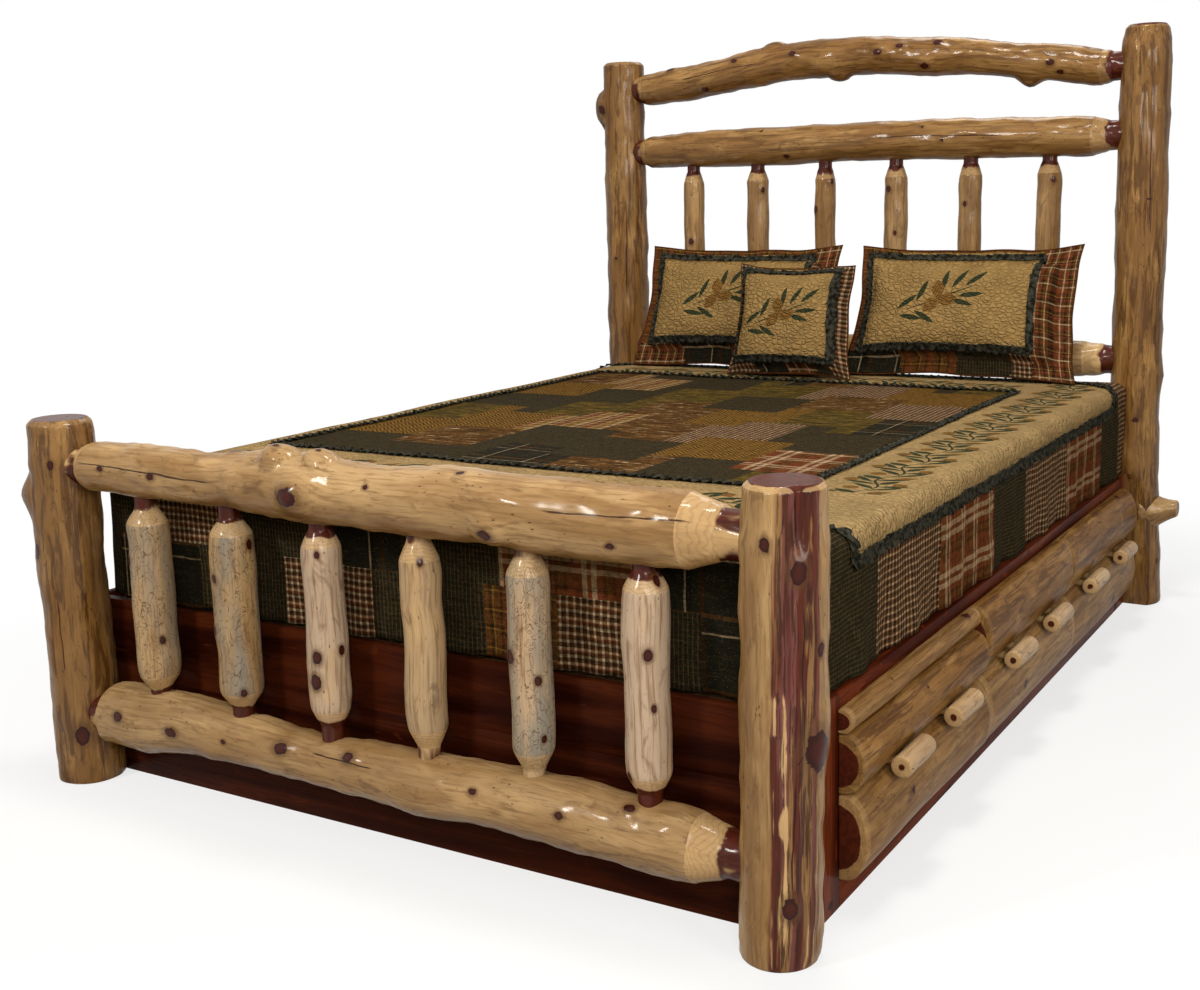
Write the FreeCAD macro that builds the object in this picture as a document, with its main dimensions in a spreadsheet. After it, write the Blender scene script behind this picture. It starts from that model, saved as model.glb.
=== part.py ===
"""Rustic log bed: a queen storage bed with peeled log posts, rails and spindles.

The frame has X across the bed, Y from foot to head and Z up. The origin is on the floor,
midway between the foot posts and the head posts. All lengths are in millimetres.
"""
import FreeCAD
import Part
import math
import os
import re
import Sketcher

# Sizes that drive the model, in millimetres
SIZES = {
    # Mattress, and the drawer case that carries it
    "mattress_width": 1524,
    "mattress_length": 2032,
    "mattress_thickness": 254,
    "mattress_corner": 60,
    "mattress_side_play": 1,
    "case_board": 19,
    "case_height": 357,
    "deck_recess": 17,
    "panel_board_height": 119,
    # Log posts: spacing of their axes, how far the foot posts stand in from the faces of the
    # case, and the flat that seats each post on the case
    "post_line_spacing": 2182,
    "foot_post_inset": 19.5,
    "post_seat": 50,
    "foot_post_diameter": 131,
    "head_post_diameter": 131,
    "foot_post_height": 725,
    "head_post_height": 1514,
    "post_bevel": 9,
    # Log rails: drops of their axes from the post tops or their heights, and the round tenon
    # on each end
    "foot_top_rail_drop": 89,
    "foot_bottom_rail_height": 148,
    "head_arch_rail_drop": 85,
    "head_upper_rail_drop": 269,
    "head_lower_rail_height": 652,
    "foot_top_rail_diameter": 120,
    "foot_bottom_rail_diameter": 116,
    "head_arch_rail_diameter": 104,
    "head_upper_rail_diameter": 108,
    "head_lower_rail_diameter": 98,
    "rail_tenon_diameter": 76,
    "rail_tenon_length": 52,
    "rail_tenon_seat": 25,
    # Log spindles, tapered to a round tenon on each end
    "foot_spindle_diameter": 78,
    "head_spindle_diameter": 68,
    "spindle_tenon_diameter": 40,
    "spindle_tenon_length": 44,
    "spindle_tenon_seat": 24,
    "spindle_taper_length": 52,
    # Joints between logs: slack round a tenon and past its end, and overrun of every cut
    "tenon_slack": 0.3,
    "tenon_end_play": 2,
    "overrun": 30,
    # Knots and branch stubs, from the axis of the log
    "knot_radius": 42,
    "knot_tip_radius": 22,
    "foot_post_knot_drop": 154,
    "foot_post_knot_reach": 100,
    "head_post_knot_drop": 129,
    "head_post_knot_reach": 100,
    "branch_stub_height": 258,
    "branch_stub_radius": 58,
    "branch_stub_tip_radius": 15,
    "branch_stub_reach": 122,
    "arch_stub_radius": 26,
    "arch_stub_tip_radius": 16,
    "arch_stub_reach": 72,
    "arch_stub_side": 480,
    # Drawer bays along each side, from the foot
    "foot_stile_width": 114,
    "foot_front_width": 635,
    "middle_front_width": 615,
    "head_front_width": 625,
    "front_overlap": 9.5,
    "front_bottom": 50,
    "front_height": 285,
    "front_reveal": 3,
    "front_gap": 0.5,
    # Half log slabs on each drawer front
    "slab_proud": 50,
    "slab_lip": 10,
    "slab_seam": 4,
    # Drawer boxes, and the runners that carry them
    "box_side_clearance": 12,
    "box_lift": 3,
    "box_back_clearance": 92.5,
    "box_height": 228,
    "box_board": 14,
    "box_bottom_board": 6,
    "box_bottom_lift": 10,
    "runner_width": 28,
    "runner_height": 20,
    "runner_play": 0.3,
    # Log pulls, two on each drawer
    "pull_diameter": 39,
    "pull_length": 118,
    "pull_height": 203,
    "pull_reach": 56,
    "pull_peg_diameter": 15,
    "pull_peg_spacing": 66,
    # Bed bolts through the end panels into the posts
    "bolt_diameter": 10,
    "bolt_head_width": 18,
    "bolt_head_height": 7,
    "bolt_length": 78,
    "bolt_slack": 0.4,
    "bolt_inset": 30,
    "lower_bolt_height": 60,
    "upper_bolt_height": 297,
    # Quilt, from the mattress that it covers
    "quilt_thickness": 6,
    "quilt_hem_lift": 5,
    "quilt_side_reach": 9,
    "quilt_fold_depth": 5,
    "quilt_edge_round": 14,
    "soft_clearance": 0.3,
    # Pillow shams that lean on the headboard, and the square cushion before them
    "sham_width": 622,
    "sham_height": 372,
    "sham_flange": 46,
    "sham_flange_thickness": 6,
    "sham_front_crown": 74,
    "sham_back_crown": 44,
    "right_sham_side": 336,
    "left_sham_side": -350,
    "accent_width": 350,
    "accent_height": 318,
    "accent_front_crown": 62,
    "accent_back_crown": 40,
    "accent_side": -112,
    "accent_foot_line": 832,
}

# Sides of the polygons that stand for the drawn faces of a peeled log
LOG_SIDES = 16
STICK_SIDES = 12
PEG_SIDES = 8
SPINDLES = 6
SPINDLE_SPACING_SHARE = 0.14173
BOLT_HEAD_SIDES = 6

# Cross sections of each log. Shares along the log between its ends, of the diameter for the
# radius, and of the diameter for the wander of its axis: first sideways, then up or back.
FOOT_POST_LEFT_SHARES = (
    (0.0, 0.49, 0.0, 0.0),
    (0.2, 0.505, 0.0, 0.01),
    (0.6, 0.495, 0.01, 0.0),
    (1.0, 0.49, 0.0, 0.0),
)
FOOT_POST_RIGHT_SHARES = (
    (0.0, 0.485, -0.02, 0.0),
    (0.25, 0.49, 0.015, 0.0),
    (0.55, 0.5, 0.045, 0.01),
    (1.0, 0.495, 0.075, 0.0),
)
HEAD_POST_LEFT_SHARES = (
    (0.0, 0.52, 0.0, 0.0),
    (0.3, 0.505, -0.01, 0.0),
    (0.72, 0.5, 0.01, 0.0),
    (0.95, 0.485, 0.0, 0.0),
    (1.0, 0.475, 0.02, 0.0),
)
HEAD_POST_RIGHT_SHARES = (
    (0.0, 0.62, 0.06, 0.0),
    (0.1, 0.57, 0.04, 0.0),
    (0.22, 0.51, 0.01, 0.0),
    (0.55, 0.49, 0.0, 0.0),
    (0.975, 0.49, -0.02, 0.0),
    (0.982, 0.43, 0.0, 0.0),
    (1.0, 0.42, 0.0, 0.0),
)
FOOT_TOP_RAIL_SHARES = (
    (0.03, 0.44, 0.0, -0.01),
    (0.2, 0.415, 0.0, 0.01),
    (0.42, 0.515, 0.0, 0.04),
    (0.58, 0.495, 0.0, 0.0),
    (0.86, 0.52, 0.0, 0.0),
    (0.95, 0.496, 0.0, -0.01),
)
FOOT_BOTTOM_RAIL_SHARES = (
    (0.04, 0.55, 0.0, -0.02),
    (0.17, 0.5, 0.0, 0.07),
    (0.39, 0.385, 0.0, -0.02),
    (0.6, 0.49, 0.0, -0.03),
    (0.8, 0.53, 0.0, 0.01),
    (0.955, 0.5, 0.0, -0.06),
)
HEAD_ARCH_RAIL_SHARES = (
    (0.03, 0.45, 0.0, -0.02),
    (0.14, 0.49, 0.0, 0.13),
    (0.35, 0.52, 0.0, 0.5),
    (0.53, 0.52, 0.0, 0.53),
    (0.7, 0.49, 0.0, 0.38),
    (0.86, 0.45, 0.0, 0.08),
    (0.96, 0.47, 0.0, -0.13),
)
HEAD_UPPER_RAIL_SHARES = (
    (0.03, 0.46, 0.0, -0.01),
    (0.3, 0.51, 0.0, 0.02),
    (0.75, 0.52, 0.0, 0.02),
    (0.955, 0.48, 0.0, -0.04),
)
HEAD_LOWER_RAIL_SHARES = (
    (0.04, 0.49, 0.0, 0.0),
    (0.35, 0.5, 0.0, 0.01),
    (0.7, 0.49, 0.0, -0.01),
    (0.955, 0.5, 0.0, 0.0),
)

# Thickness of each spindle, as a share of the spindle diameter, from left to right
FOOT_SPINDLE_SHARES = (1.08, 1.1, 0.97, 0.95, 0.97, 1.0)
HEAD_SPINDLE_SHARES = (1.0, 1.03, 0.94, 1.02, 0.97, 1.0)

# Seams between the half log slabs of a front, as shares of its height, and how far each
# slab stands out, as a share of the full proud
FOOT_FRONT_SEAM_SHARES = (0.0, 0.505, 0.855, 1.0)
FOOT_FRONT_PROUD_SHARES = (1.0, 0.9, 0.5)
OTHER_FRONT_SEAM_SHARES = (0.0, 0.535, 1.0)
OTHER_FRONT_PROUD_SHARES = (0.96, 0.92)

# Pillow rings: how far out of the seam plane, as a share of the crown, and how far in from
# the seam, as a share of the pillow height
CROWN_SHARES = ((0.0, 0.0), (0.34, 0.025), (0.62, 0.08), (0.82, 0.16), (0.95, 0.27), (1.0, 0.4))
DRAWN_IN_SHARE = 0.045
SEAM_STEPS = 6
SHAM_LEAN = 18
ACCENT_LEAN = 13

# Folds of the hanging quilt: their number on each edge, and rings from the hem to the top
SIDE_FOLDS = 11
FOOT_FOLDS = 8
QUILT_DROP_SHARES = (0.0, 0.5, 0.86)
QUILT_FOLD_SHARES = (1.0, 0.45, 0.05)

# The space between the two pulls of each drawer, as a share of the width of its front
PULL_SPACING_SHARES = (0.406, 0.452, 0.48)

# The two rings that shape the round tenon on each end of a rail
RAIL_TENON = (
    ("rail_tenon_diameter / 2", "0", "0"),
    ("rail_tenon_diameter / 2", "rail_tenon_length", "0"),
)

# Places that several pieces share, as formulas of the named sizes
HALF_CASE = "(mattress_width / 2 + mattress_side_play + case_board)"
POST_SPREADS = {
    "foot": "((mattress_width / 2 + mattress_side_play + case_board - foot_post_inset) * 2)",
    "head": "((mattress_width / 2 + mattress_side_play + case_board) * 2)",
}
RAIL_HEIGHTS = {
    "foot_top_rail": "(foot_post_height - foot_top_rail_drop)",
    "foot_bottom_rail": "foot_bottom_rail_height",
    "head_arch_rail": "(head_post_height - head_arch_rail_drop)",
    "head_upper_rail": "(head_post_height - head_upper_rail_drop)",
    "head_lower_rail": "head_lower_rail_height",
}
HALF_INSIDE = "(mattress_width / 2 + mattress_side_play)"
CASE_END = "(post_line_spacing / 2 - post_seat)"
CASE_INSIDE_END = "(post_line_spacing / 2 - post_seat - case_board)"
DECK_TOP = "(case_height - deck_recess)"
PARTITION_HEIGHT = "(case_height - deck_recess - case_board)"
FRONT_EDGES = (
    "(foot_stile_width - post_line_spacing / 2 + post_seat)",
    "(foot_stile_width - post_line_spacing / 2 + post_seat + foot_front_width)",
    "(foot_stile_width - post_line_spacing / 2 + post_seat + foot_front_width + middle_front_width)",
    "(foot_stile_width - post_line_spacing / 2 + post_seat + foot_front_width + middle_front_width"
    " + head_front_width)",
)
BOX_DEPTH = "(mattress_width / 2 + mattress_side_play + case_board / 2 - box_back_clearance)"
BOX_BOTTOM = "(front_bottom + front_overlap + box_lift)"
SIDES = (("right", 1), ("left", -1))
BAYS = (
    ("foot", "foot_front_width", FOOT_FRONT_SEAM_SHARES, FOOT_FRONT_PROUD_SHARES),
    ("middle", "middle_front_width", OTHER_FRONT_SEAM_SHARES, OTHER_FRONT_PROUD_SHARES),
    ("head", "head_front_width", OTHER_FRONT_SEAM_SHARES, OTHER_FRONT_PROUD_SHARES),
)

# Turns of a piece drawn along its own Z. A log across the bed has its own X along Y, its Y up
ALONG_BED = FreeCAD.Vector(0, 1, 0)
ACROSS_BED = FreeCAD.Vector(1, 0, 0)
ACROSS = FreeCAD.Rotation(FreeCAD.Vector(1, 1, 1), 120)
UPRIGHT = FreeCAD.Rotation()
TO_RIGHT = FreeCAD.Rotation(ALONG_BED, 90)
TO_LEFT = FreeCAD.Rotation(ALONG_BED, -90)
TO_HEAD = FreeCAD.Rotation(ACROSS_BED, -90)
TO_FOOT = FreeCAD.Rotation(ACROSS_BED, 90)

document = FreeCAD.newDocument("LogBed")
sheet = document.addObject("Spreadsheet::Sheet", "Sizes")
for row, (alias, value) in enumerate(SIZES.items(), 1):
    sheet.set("A%d" % row, alias)
    sheet.set("B%d" % row, str(value))
    sheet.setAlias("B%d" % row, alias)
document.recompute()

nodes = []


def size(name):
    """One size, read from the sheet."""
    return float(sheet.get(name))


def linked(formula):
    """The formula with each named size looked up in the sheet."""
    def look_up(word):
        return "Sizes." + word.group() if word.group() in SIZES else word.group()
    return re.sub(r"[a-z][a-z_]*", look_up, formula)


def bind(thing, **formulas):
    """Bind properties of an object to formulas of named sizes."""
    for name, formula in formulas.items():
        thing.setExpression(name, linked(formula))


def drive(sketch, constraint, formula):
    """Add a constraint to a sketch and bind it to a formula of named sizes."""
    index = sketch.addConstraint(constraint)
    sketch.setExpression("Constraints[%d]" % index, linked(formula))


def place(thing, x="0", y="0", z="0", turn=UPRIGHT):
    """Bind the place of an object to formulas of named sizes, and turn it."""
    thing.Placement = FreeCAD.Placement(FreeCAD.Vector(), turn)
    for axis, formula in zip("xyz", (x, y, z)):
        thing.setExpression("Placement.Base." + axis, linked(formula))
    return thing


def node(thing, label):
    """Keep an object as a sub-part under its own name."""
    thing.Label = label
    nodes.append(thing)
    return thing


def box(name, x, y, z, length, width, height):
    """A board between named faces: its lowest corner, then its extents along X, Y and Z."""
    thing = document.addObject("Part::Box", name)
    bind(thing, Length=length, Width=width, Height=height)
    return place(thing, x, y, z)


def stick(name, sides, diameter, length, x="0", y="0", z="0", turn=UPRIGHT):
    """A straight stick with flat drawn faces, along the Z of its own frame."""
    thing = document.addObject("Part::Prism", name)
    thing.Polygon = sides
    bind(thing, Circumradius="(%s) / 2" % diameter, Height=length)
    return place(thing, x, y, z, turn)


def group(name, things):
    """Several solids that make one sub-part."""
    thing = document.addObject("Part::Compound", name)
    thing.Links = things
    return thing


def joined(name, things):
    """Solids fused into one."""
    thing = document.addObject("Part::MultiFuse", name)
    thing.Shapes = things
    return thing


def cut(name, base, tools):
    """A solid with holes, mortises or flats cut from it."""
    thing = document.addObject("Part::Cut", name)
    thing.Base = base
    thing.Tool = tools[0] if len(tools) == 1 else joined(name + "_tools", tools)
    return thing


def ring(name, radius, side, rise, along, sides=LOG_SIDES):
    """One cross section of a log, square to its length."""
    thing = document.addObject("Part::RegularPolygon", name)
    thing.Polygon = sides
    bind(thing, Circumradius=radius)
    return place(thing, side, rise, along)


def loft(name, rings):
    """A solid with straight drawn faces between cross sections."""
    thing = document.addObject("Part::Loft", name)
    thing.Sections = rings
    thing.Solid = True
    thing.Ruled = True
    thing.Linearize = True
    return thing


def log(name, length, diameter, shares, start=(), end=(), start_margin="0", end_margin="0"):
    """A log along the Z of its own frame, through the cross sections that the shares give.

    start and end are rings outside those sections: (radius, distance from that end of the log,
    sideways place), each a formula, from the outside in. The shares cover what the margins leave.
    """
    rings = []
    for index, (radius, inset, side) in enumerate(start):
        rings.append(ring("%s_start_%d" % (name, index), radius, side, "0", inset))
    for index, (along, radius, side, rise) in enumerate(shares):
        rings.append(ring(
            "%s_ring_%d" % (name, index),
            "(%s) * %g" % (diameter, radius),
            "(%s) * %g" % (diameter, side),
            "(%s) * %g" % (diameter, rise),
            "%s + ((%s) - %s - %s) * %g" % (start_margin, length, start_margin, end_margin, along),
        ))
    for index, (radius, inset, side) in enumerate(reversed(end)):
        rings.append(ring("%s_end_%d" % (name, index), radius, side, "0", "(%s) - (%s)" % (length, inset)))
    return loft(name, rings)


def stub(name, radius, tip_radius, reach, z, turn):
    """A knot or a sawn branch that tapers outwards from the axis of its log."""
    rings = [
        ring(name + "_root", radius, "0", "0", "0", PEG_SIDES),
        ring(name + "_tip", tip_radius, "0", "0", reach, PEG_SIDES),
    ]
    return place(loft(name, rings), z=z, turn=turn)


# Log posts
def post(end, side, spread, diameter, height, shares, rail_heights, knots=()):
    """One log post, with a sawn flat for the case, mortises for the rails and bolt holes."""
    side_sign = dict(SIDES)[side]
    end_sign = 1 if end == "head" else -1
    label = "%s_post_%s" % (end, side)
    top_radius, top_side = shares[-1][1:3]
    top_ring = ("%s * %g - post_bevel" % (diameter, top_radius), "0", "%s * %g" % (diameter, top_side))
    trunk = log(label + "_trunk", height, diameter, shares, end=(top_ring,), end_margin="post_bevel")
    grown = joined(label + "_grown", [trunk] + list(knots)) if knots else trunk
    flat_start = "post_seat" if end == "foot" else "-post_seat - " + diameter
    tools = [box(
        label + "_flat",
        "-" + diameter,
        flat_start,
        "-overrun",
        "%s * 2" % diameter,
        diameter,
        "overrun + case_height",
    )]
    for index, rail_height in enumerate(rail_heights):
        tools.append(stick(
            "%s_mortise_%d" % (label, index),
            LOG_SIDES,
            "rail_tenon_diameter + tenon_slack * 2",
            diameter,
            x="%d * (rail_tenon_seat - tenon_end_play)" % -side_sign,
            z=rail_height,
            turn=TO_LEFT if side_sign > 0 else TO_RIGHT,
        ))
    for level in ("lower", "upper"):
        tools.append(stick(
            "%s_%s_bolt_hole" % (label, level),
            PEG_SIDES,
            "bolt_diameter + bolt_slack * 2",
            "bolt_length - case_board + tenon_end_play + overrun",
            x="%d * bolt_inset" % -side_sign,
            y="%d * (post_seat - bolt_length + case_board - tenon_end_play)" % -end_sign,
            z="%s_bolt_height" % level,
            turn=TO_HEAD if end == "foot" else TO_FOOT,
        ))
    thing = cut(label, grown, tools)
    place(thing, "%d * %s / 2" % (side_sign, spread), "%d * post_line_spacing / 2" % end_sign)
    node(thing, label)


def posts():
    """The two foot posts and the two taller head posts, with their knots and branch stub."""
    foot_knot = stub(
        "foot_post_knot",
        "knot_radius",
        "knot_tip_radius",
        "foot_post_knot_reach",
        z="foot_post_height - foot_post_knot_drop",
        turn=TO_LEFT,
    )
    head_knot = stub(
        "head_post_knot",
        "knot_radius",
        "knot_tip_radius",
        "head_post_knot_reach",
        z="head_post_height - head_post_knot_drop",
        turn=TO_LEFT,
    )
    branch = stub(
        "branch_stub",
        "branch_stub_radius",
        "branch_stub_tip_radius",
        "branch_stub_reach",
        z="branch_stub_height",
        turn=TO_RIGHT,
    )
    foot = (POST_SPREADS["foot"], "foot_post_diameter", "foot_post_height")
    head = (POST_SPREADS["head"], "head_post_diameter", "head_post_height")
    foot_rails = [height for label, height in RAIL_HEIGHTS.items() if label.startswith("foot")]
    head_rails = [height for label, height in RAIL_HEIGHTS.items() if label.startswith("head")]
    post("foot", "left", *foot, FOOT_POST_LEFT_SHARES, foot_rails, (foot_knot,))
    post("foot", "right", *foot, FOOT_POST_RIGHT_SHARES, foot_rails)
    post("head", "left", *head, HEAD_POST_LEFT_SHARES, head_rails, (head_knot,))
    post("head", "right", *head, HEAD_POST_RIGHT_SHARES, head_rails, (branch,))


# Log rails
def spindle_place(index):
    """How far a spindle stands from the middle of the bed."""
    return "mattress_width * %g" % (SPINDLE_SPACING_SHARE * (index - (SPINDLES - 1) / 2))


def rail(end, name, shares, spindles_above=None, case_flat=False, stubs=()):
    """One log rail between two posts, tapered to round tenons, bored for its spindles."""
    label = "%s_%s_rail" % (end, name)
    spread = POST_SPREADS[end]
    length = "(%s - rail_tenon_seat * 2)" % spread
    left_end = "(rail_tenon_seat - %s / 2)" % spread
    diameter = label + "_diameter"
    thing = log(
        label + "_trunk",
        length,
        diameter,
        shares,
        start=RAIL_TENON,
        end=RAIL_TENON,
        start_margin="rail_tenon_length",
        end_margin="rail_tenon_length",
    )
    if stubs:
        thing = joined(label + "_grown", [thing] + list(stubs))
    tools = []
    if spindles_above is not None:
        opens_up = 1 if spindles_above else -1
        for index in range(SPINDLES):
            tools.append(stick(
                "%s_mortise_%d" % (label, index),
                STICK_SIDES,
                "spindle_tenon_diameter + tenon_slack * 2",
                diameter,
                y="%d * (spindle_tenon_seat - tenon_end_play)" % opens_up,
                z="%s - %s" % (spindle_place(index), left_end),
                turn=TO_HEAD if spindles_above else TO_FOOT,
            ))
    if case_flat:
        tools.append(box(
            label + "_flat", "post_seat", "-" + diameter, "0", diameter, "%s * 2" % diameter, length,
        ))
    if tools:
        thing = cut(label, thing, tools)
    line = "post_line_spacing / 2" if end == "head" else "-post_line_spacing / 2"
    place(thing, left_end, line, RAIL_HEIGHTS[label], ACROSS)
    node(thing, label)


def rails():
    """Two rails of the footboard and three of the headboard."""
    arch_stub = stub(
        "arch_stub",
        "arch_stub_radius",
        "arch_stub_tip_radius",
        "arch_stub_reach",
        z="arch_stub_side + %s / 2 - rail_tenon_seat" % POST_SPREADS["head"],
        turn=TO_FOOT,
    )
    rail("foot", "top", FOOT_TOP_RAIL_SHARES, spindles_above=False)
    rail("foot", "bottom", FOOT_BOTTOM_RAIL_SHARES, spindles_above=True, case_flat=True)
    rail("head", "arch", HEAD_ARCH_RAIL_SHARES, stubs=(arch_stub,))
    rail("head", "upper", HEAD_UPPER_RAIL_SHARES, spindles_above=False)
    rail("head", "lower", HEAD_LOWER_RAIL_SHARES, spindles_above=True)


# Log spindles
def end_edges(shape, height):
    """Names of the edges of a solid that lie flat at one height."""
    near = size("tenon_slack")
    names = []
    for index, edge in enumerate(shape.Edges, 1):
        bounds = edge.BoundBox
        if abs(bounds.ZMin - height) < near and abs(bounds.ZMax - height) < near:
            names.append("Edge%d" % index)
    return names


def spindle(end, index, share, lower_rail, upper_rail):
    """One log spindle: half a stem with its taper and tenon, mirrored about its middle."""
    label = "%s_spindle_%d" % (end, index + 1)
    diameter = "%s_spindle_diameter * %g" % (end, share)
    lower_height = RAIL_HEIGHTS[lower_rail]
    upper_height = RAIL_HEIGHTS[upper_rail]
    half = "((%s - %s) / 2 - spindle_tenon_seat)" % (upper_height, lower_height)
    body = document.addObject("PartDesign::Body", label)
    stem = body.newObject("PartDesign::AdditivePrism", label + "_stem")
    stem.Polygon = STICK_SIDES
    bind(stem, Circumradius=diameter + " / 2", Height=half + " - spindle_tenon_length")
    document.recompute()
    taper = body.newObject("PartDesign::Chamfer", label + "_taper")
    taper.Base = (stem, end_edges(stem.Shape, stem.Height.Value))
    taper.ChamferType = "Two distances"
    taper.FlipDirection = True
    drop = "(%s - spindle_tenon_diameter) / 2 * cos(180 deg / %d)" % (diameter, STICK_SIDES)
    bind(taper, Size=drop, Size2="spindle_taper_length")
    document.recompute()
    tenon = body.newObject("PartDesign::AdditivePrism", label + "_tenon")
    tenon.Polygon = STICK_SIDES
    bind(tenon, Circumradius="spindle_tenon_diameter / 2", Height=half)
    document.recompute()
    whole = body.newObject("PartDesign::Mirrored", label + "_whole")
    whole.TransformMode = "Whole shape"
    whole.MirrorPlane = ([plane for plane in body.Origin.OriginFeatures if plane.Role == "XY_Plane"][0], [""])
    body.Tip = whole
    line = "post_line_spacing / 2" if end == "head" else "-post_line_spacing / 2"
    place(body, spindle_place(index), line, "(%s + %s) / 2" % (upper_height, lower_height))
    node(body, label)


def spindles():
    """Six spindles in the footboard and six in the headboard."""
    for index, share in enumerate(FOOT_SPINDLE_SHARES):
        spindle("foot", index, share, "foot_bottom_rail", "foot_top_rail")
    for index, share in enumerate(HEAD_SPINDLE_SHARES):
        spindle("head", index, share, "head_lower_rail", "head_upper_rail")


# Drawer case under the mattress
def side_board(name, side_sign, inner, outer, y, z, width, height):
    """A board of the right or left side, between two distances from the middle of the bed."""
    x = inner if side_sign > 0 else "-" + outer
    return box(name, x, y, z, "%s - %s" % (outer, inner), width, height)


def side_frame(side, side_sign):
    """Face frame of one long side: a rail under the drawers, one over them, and the stiles."""
    inner_edge = HALF_INSIDE
    opening_bottom = "(front_bottom + front_overlap)"
    opening_top = "(front_bottom + front_height - front_overlap)"
    first = "(%s + front_overlap)" % FRONT_EDGES[0]
    last = "(%s - front_overlap)" % FRONT_EDGES[-1]
    run = "%s - %s" % (last, first)
    place_of = (side_sign, inner_edge, HALF_CASE)
    top = side_board(
        side + "_top", *place_of, first, opening_top, run, "case_height - " + opening_top,
    )
    node(top, "case_top_rail_" + side)
    bottom = side_board(side + "_bottom", *place_of, first, "0", run, opening_bottom)
    node(bottom, "case_bottom_rail_" + side)
    foot_width = "%s + %s" % (first, CASE_END)
    head_width = "%s - %s" % (CASE_END, last)
    stiles = [
        side_board(side + "_foot_stile", *place_of, "-" + CASE_END, "0", foot_width, "case_height"),
        side_board(side + "_head_stile", *place_of, last, "0", head_width, "case_height"),
    ]
    for index, edge in enumerate(FRONT_EDGES[1:-1]):
        stiles.append(side_board(
            "%s_mullion_%d" % (side, index),
            *place_of,
            "%s - front_overlap" % edge,
            opening_bottom,
            "front_overlap * 2",
            "%s - %s" % (opening_top, opening_bottom),
        ))
    node(group(side + "_stiles", stiles), "case_stiles_" + side)


def bolt_places(end):
    """Side, distance from the middle and height of each bolt through one end panel."""
    places = []
    for side, side_sign in SIDES:
        for level in ("lower", "upper"):
            across = "%d * (%s / 2 - bolt_inset)" % (side_sign, POST_SPREADS[end])
            places.append(("%s_%s_%s" % (end, side, level), across, level + "_bolt_height"))
    return places


def end_panel(end):
    """Panel of horizontal boards across the foot or the head, bored for the bed bolts."""
    outer = "-" + CASE_END if end == "foot" else CASE_INSIDE_END
    boards = []
    for index in range(3):
        boards.append(box(
            "%s_panel_board_%d" % (end, index),
            "-" + HALF_INSIDE,
            outer,
            "panel_board_height * %d" % index,
            HALF_INSIDE + " * 2",
            "case_board",
            "panel_board_height" if index < 2 else "case_height - panel_board_height * 2",
        ))
    tools = []
    for name, across, height in bolt_places(end):
        tools.append(stick(
            name + "_panel_hole",
            PEG_SIDES,
            "bolt_diameter + bolt_slack * 2",
            "case_board + overrun * 2",
            across,
            outer + " - overrun",
            height,
            TO_HEAD,
        ))
    node(cut(end + "_bored_panel", group(end + "_boards", boards), tools), end + "_panel")


def bed_bolts():
    """Hexagon head bolts from inside the case into the posts."""
    bolts = []
    for end in ("foot", "head"):
        seat = "-" + CASE_INSIDE_END if end == "foot" else CASE_INSIDE_END
        outward = TO_FOOT if end == "foot" else TO_HEAD
        for name, across, height in bolt_places(end):
            hexagon = stick(
                name + "_bolt_head", BOLT_HEAD_SIDES, "bolt_head_width", "bolt_head_height",
                z="-bolt_head_height",
            )
            shank = stick(name + "_bolt_shank", PEG_SIDES, "bolt_diameter", "bolt_length")
            bolt = joined(name + "_bolt", [hexagon, shank])
            bolts.append(place(bolt, across, seat, height, outward))
    node(group("bolts", bolts), "bed_bolts")


def case_inside():
    """Partitions between the drawers, the deck over them and the runners under them."""
    centre = box(
        "centre",
        "-case_board / 2",
        "-" + CASE_INSIDE_END,
        "0",
        "case_board",
        CASE_INSIDE_END + " * 2",
        PARTITION_HEIGHT,
    )
    node(centre, "centre_partition")
    crosses = []
    runners = []
    for side, side_sign in SIDES:
        for index, edge in enumerate(FRONT_EDGES):
            crosses.append(side_board(
                "%s_cross_%d" % (side, index),
                side_sign,
                "(case_board / 2)",
                HALF_INSIDE,
                "%s - case_board / 2" % edge,
                "0",
                "case_board",
                PARTITION_HEIGHT,
            ))
        runner_inner = "(%s - %s)" % (HALF_CASE, BOX_DEPTH)
        for index in range(len(BAYS)):
            for name, y in (
                ("near", "%s + case_board / 2" % FRONT_EDGES[index]),
                ("far", "%s - case_board / 2 - runner_width" % FRONT_EDGES[index + 1]),
            ):
                runners.append(side_board(
                    "%s_%s_runner_%d" % (side, name, index),
                    side_sign,
                    runner_inner,
                    HALF_INSIDE,
                    y,
                    BOX_BOTTOM + " - runner_play - runner_height",
                    "runner_width",
                    "runner_height",
                ))
    node(group("crosses", crosses), "cross_partitions")
    node(group("runners", runners), "drawer_runners")
    decks = []
    for index in range(3):
        decks.append(box(
            "deck_%d" % index,
            "-" + HALF_INSIDE,
            "%s * %g" % (CASE_INSIDE_END, (index * 2 - 3) / 3),
            PARTITION_HEIGHT,
            HALF_INSIDE + " * 2",
            CASE_INSIDE_END + " * 2 / 3",
            "case_board",
        ))
    node(group("decks", decks), "deck_panels")


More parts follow.
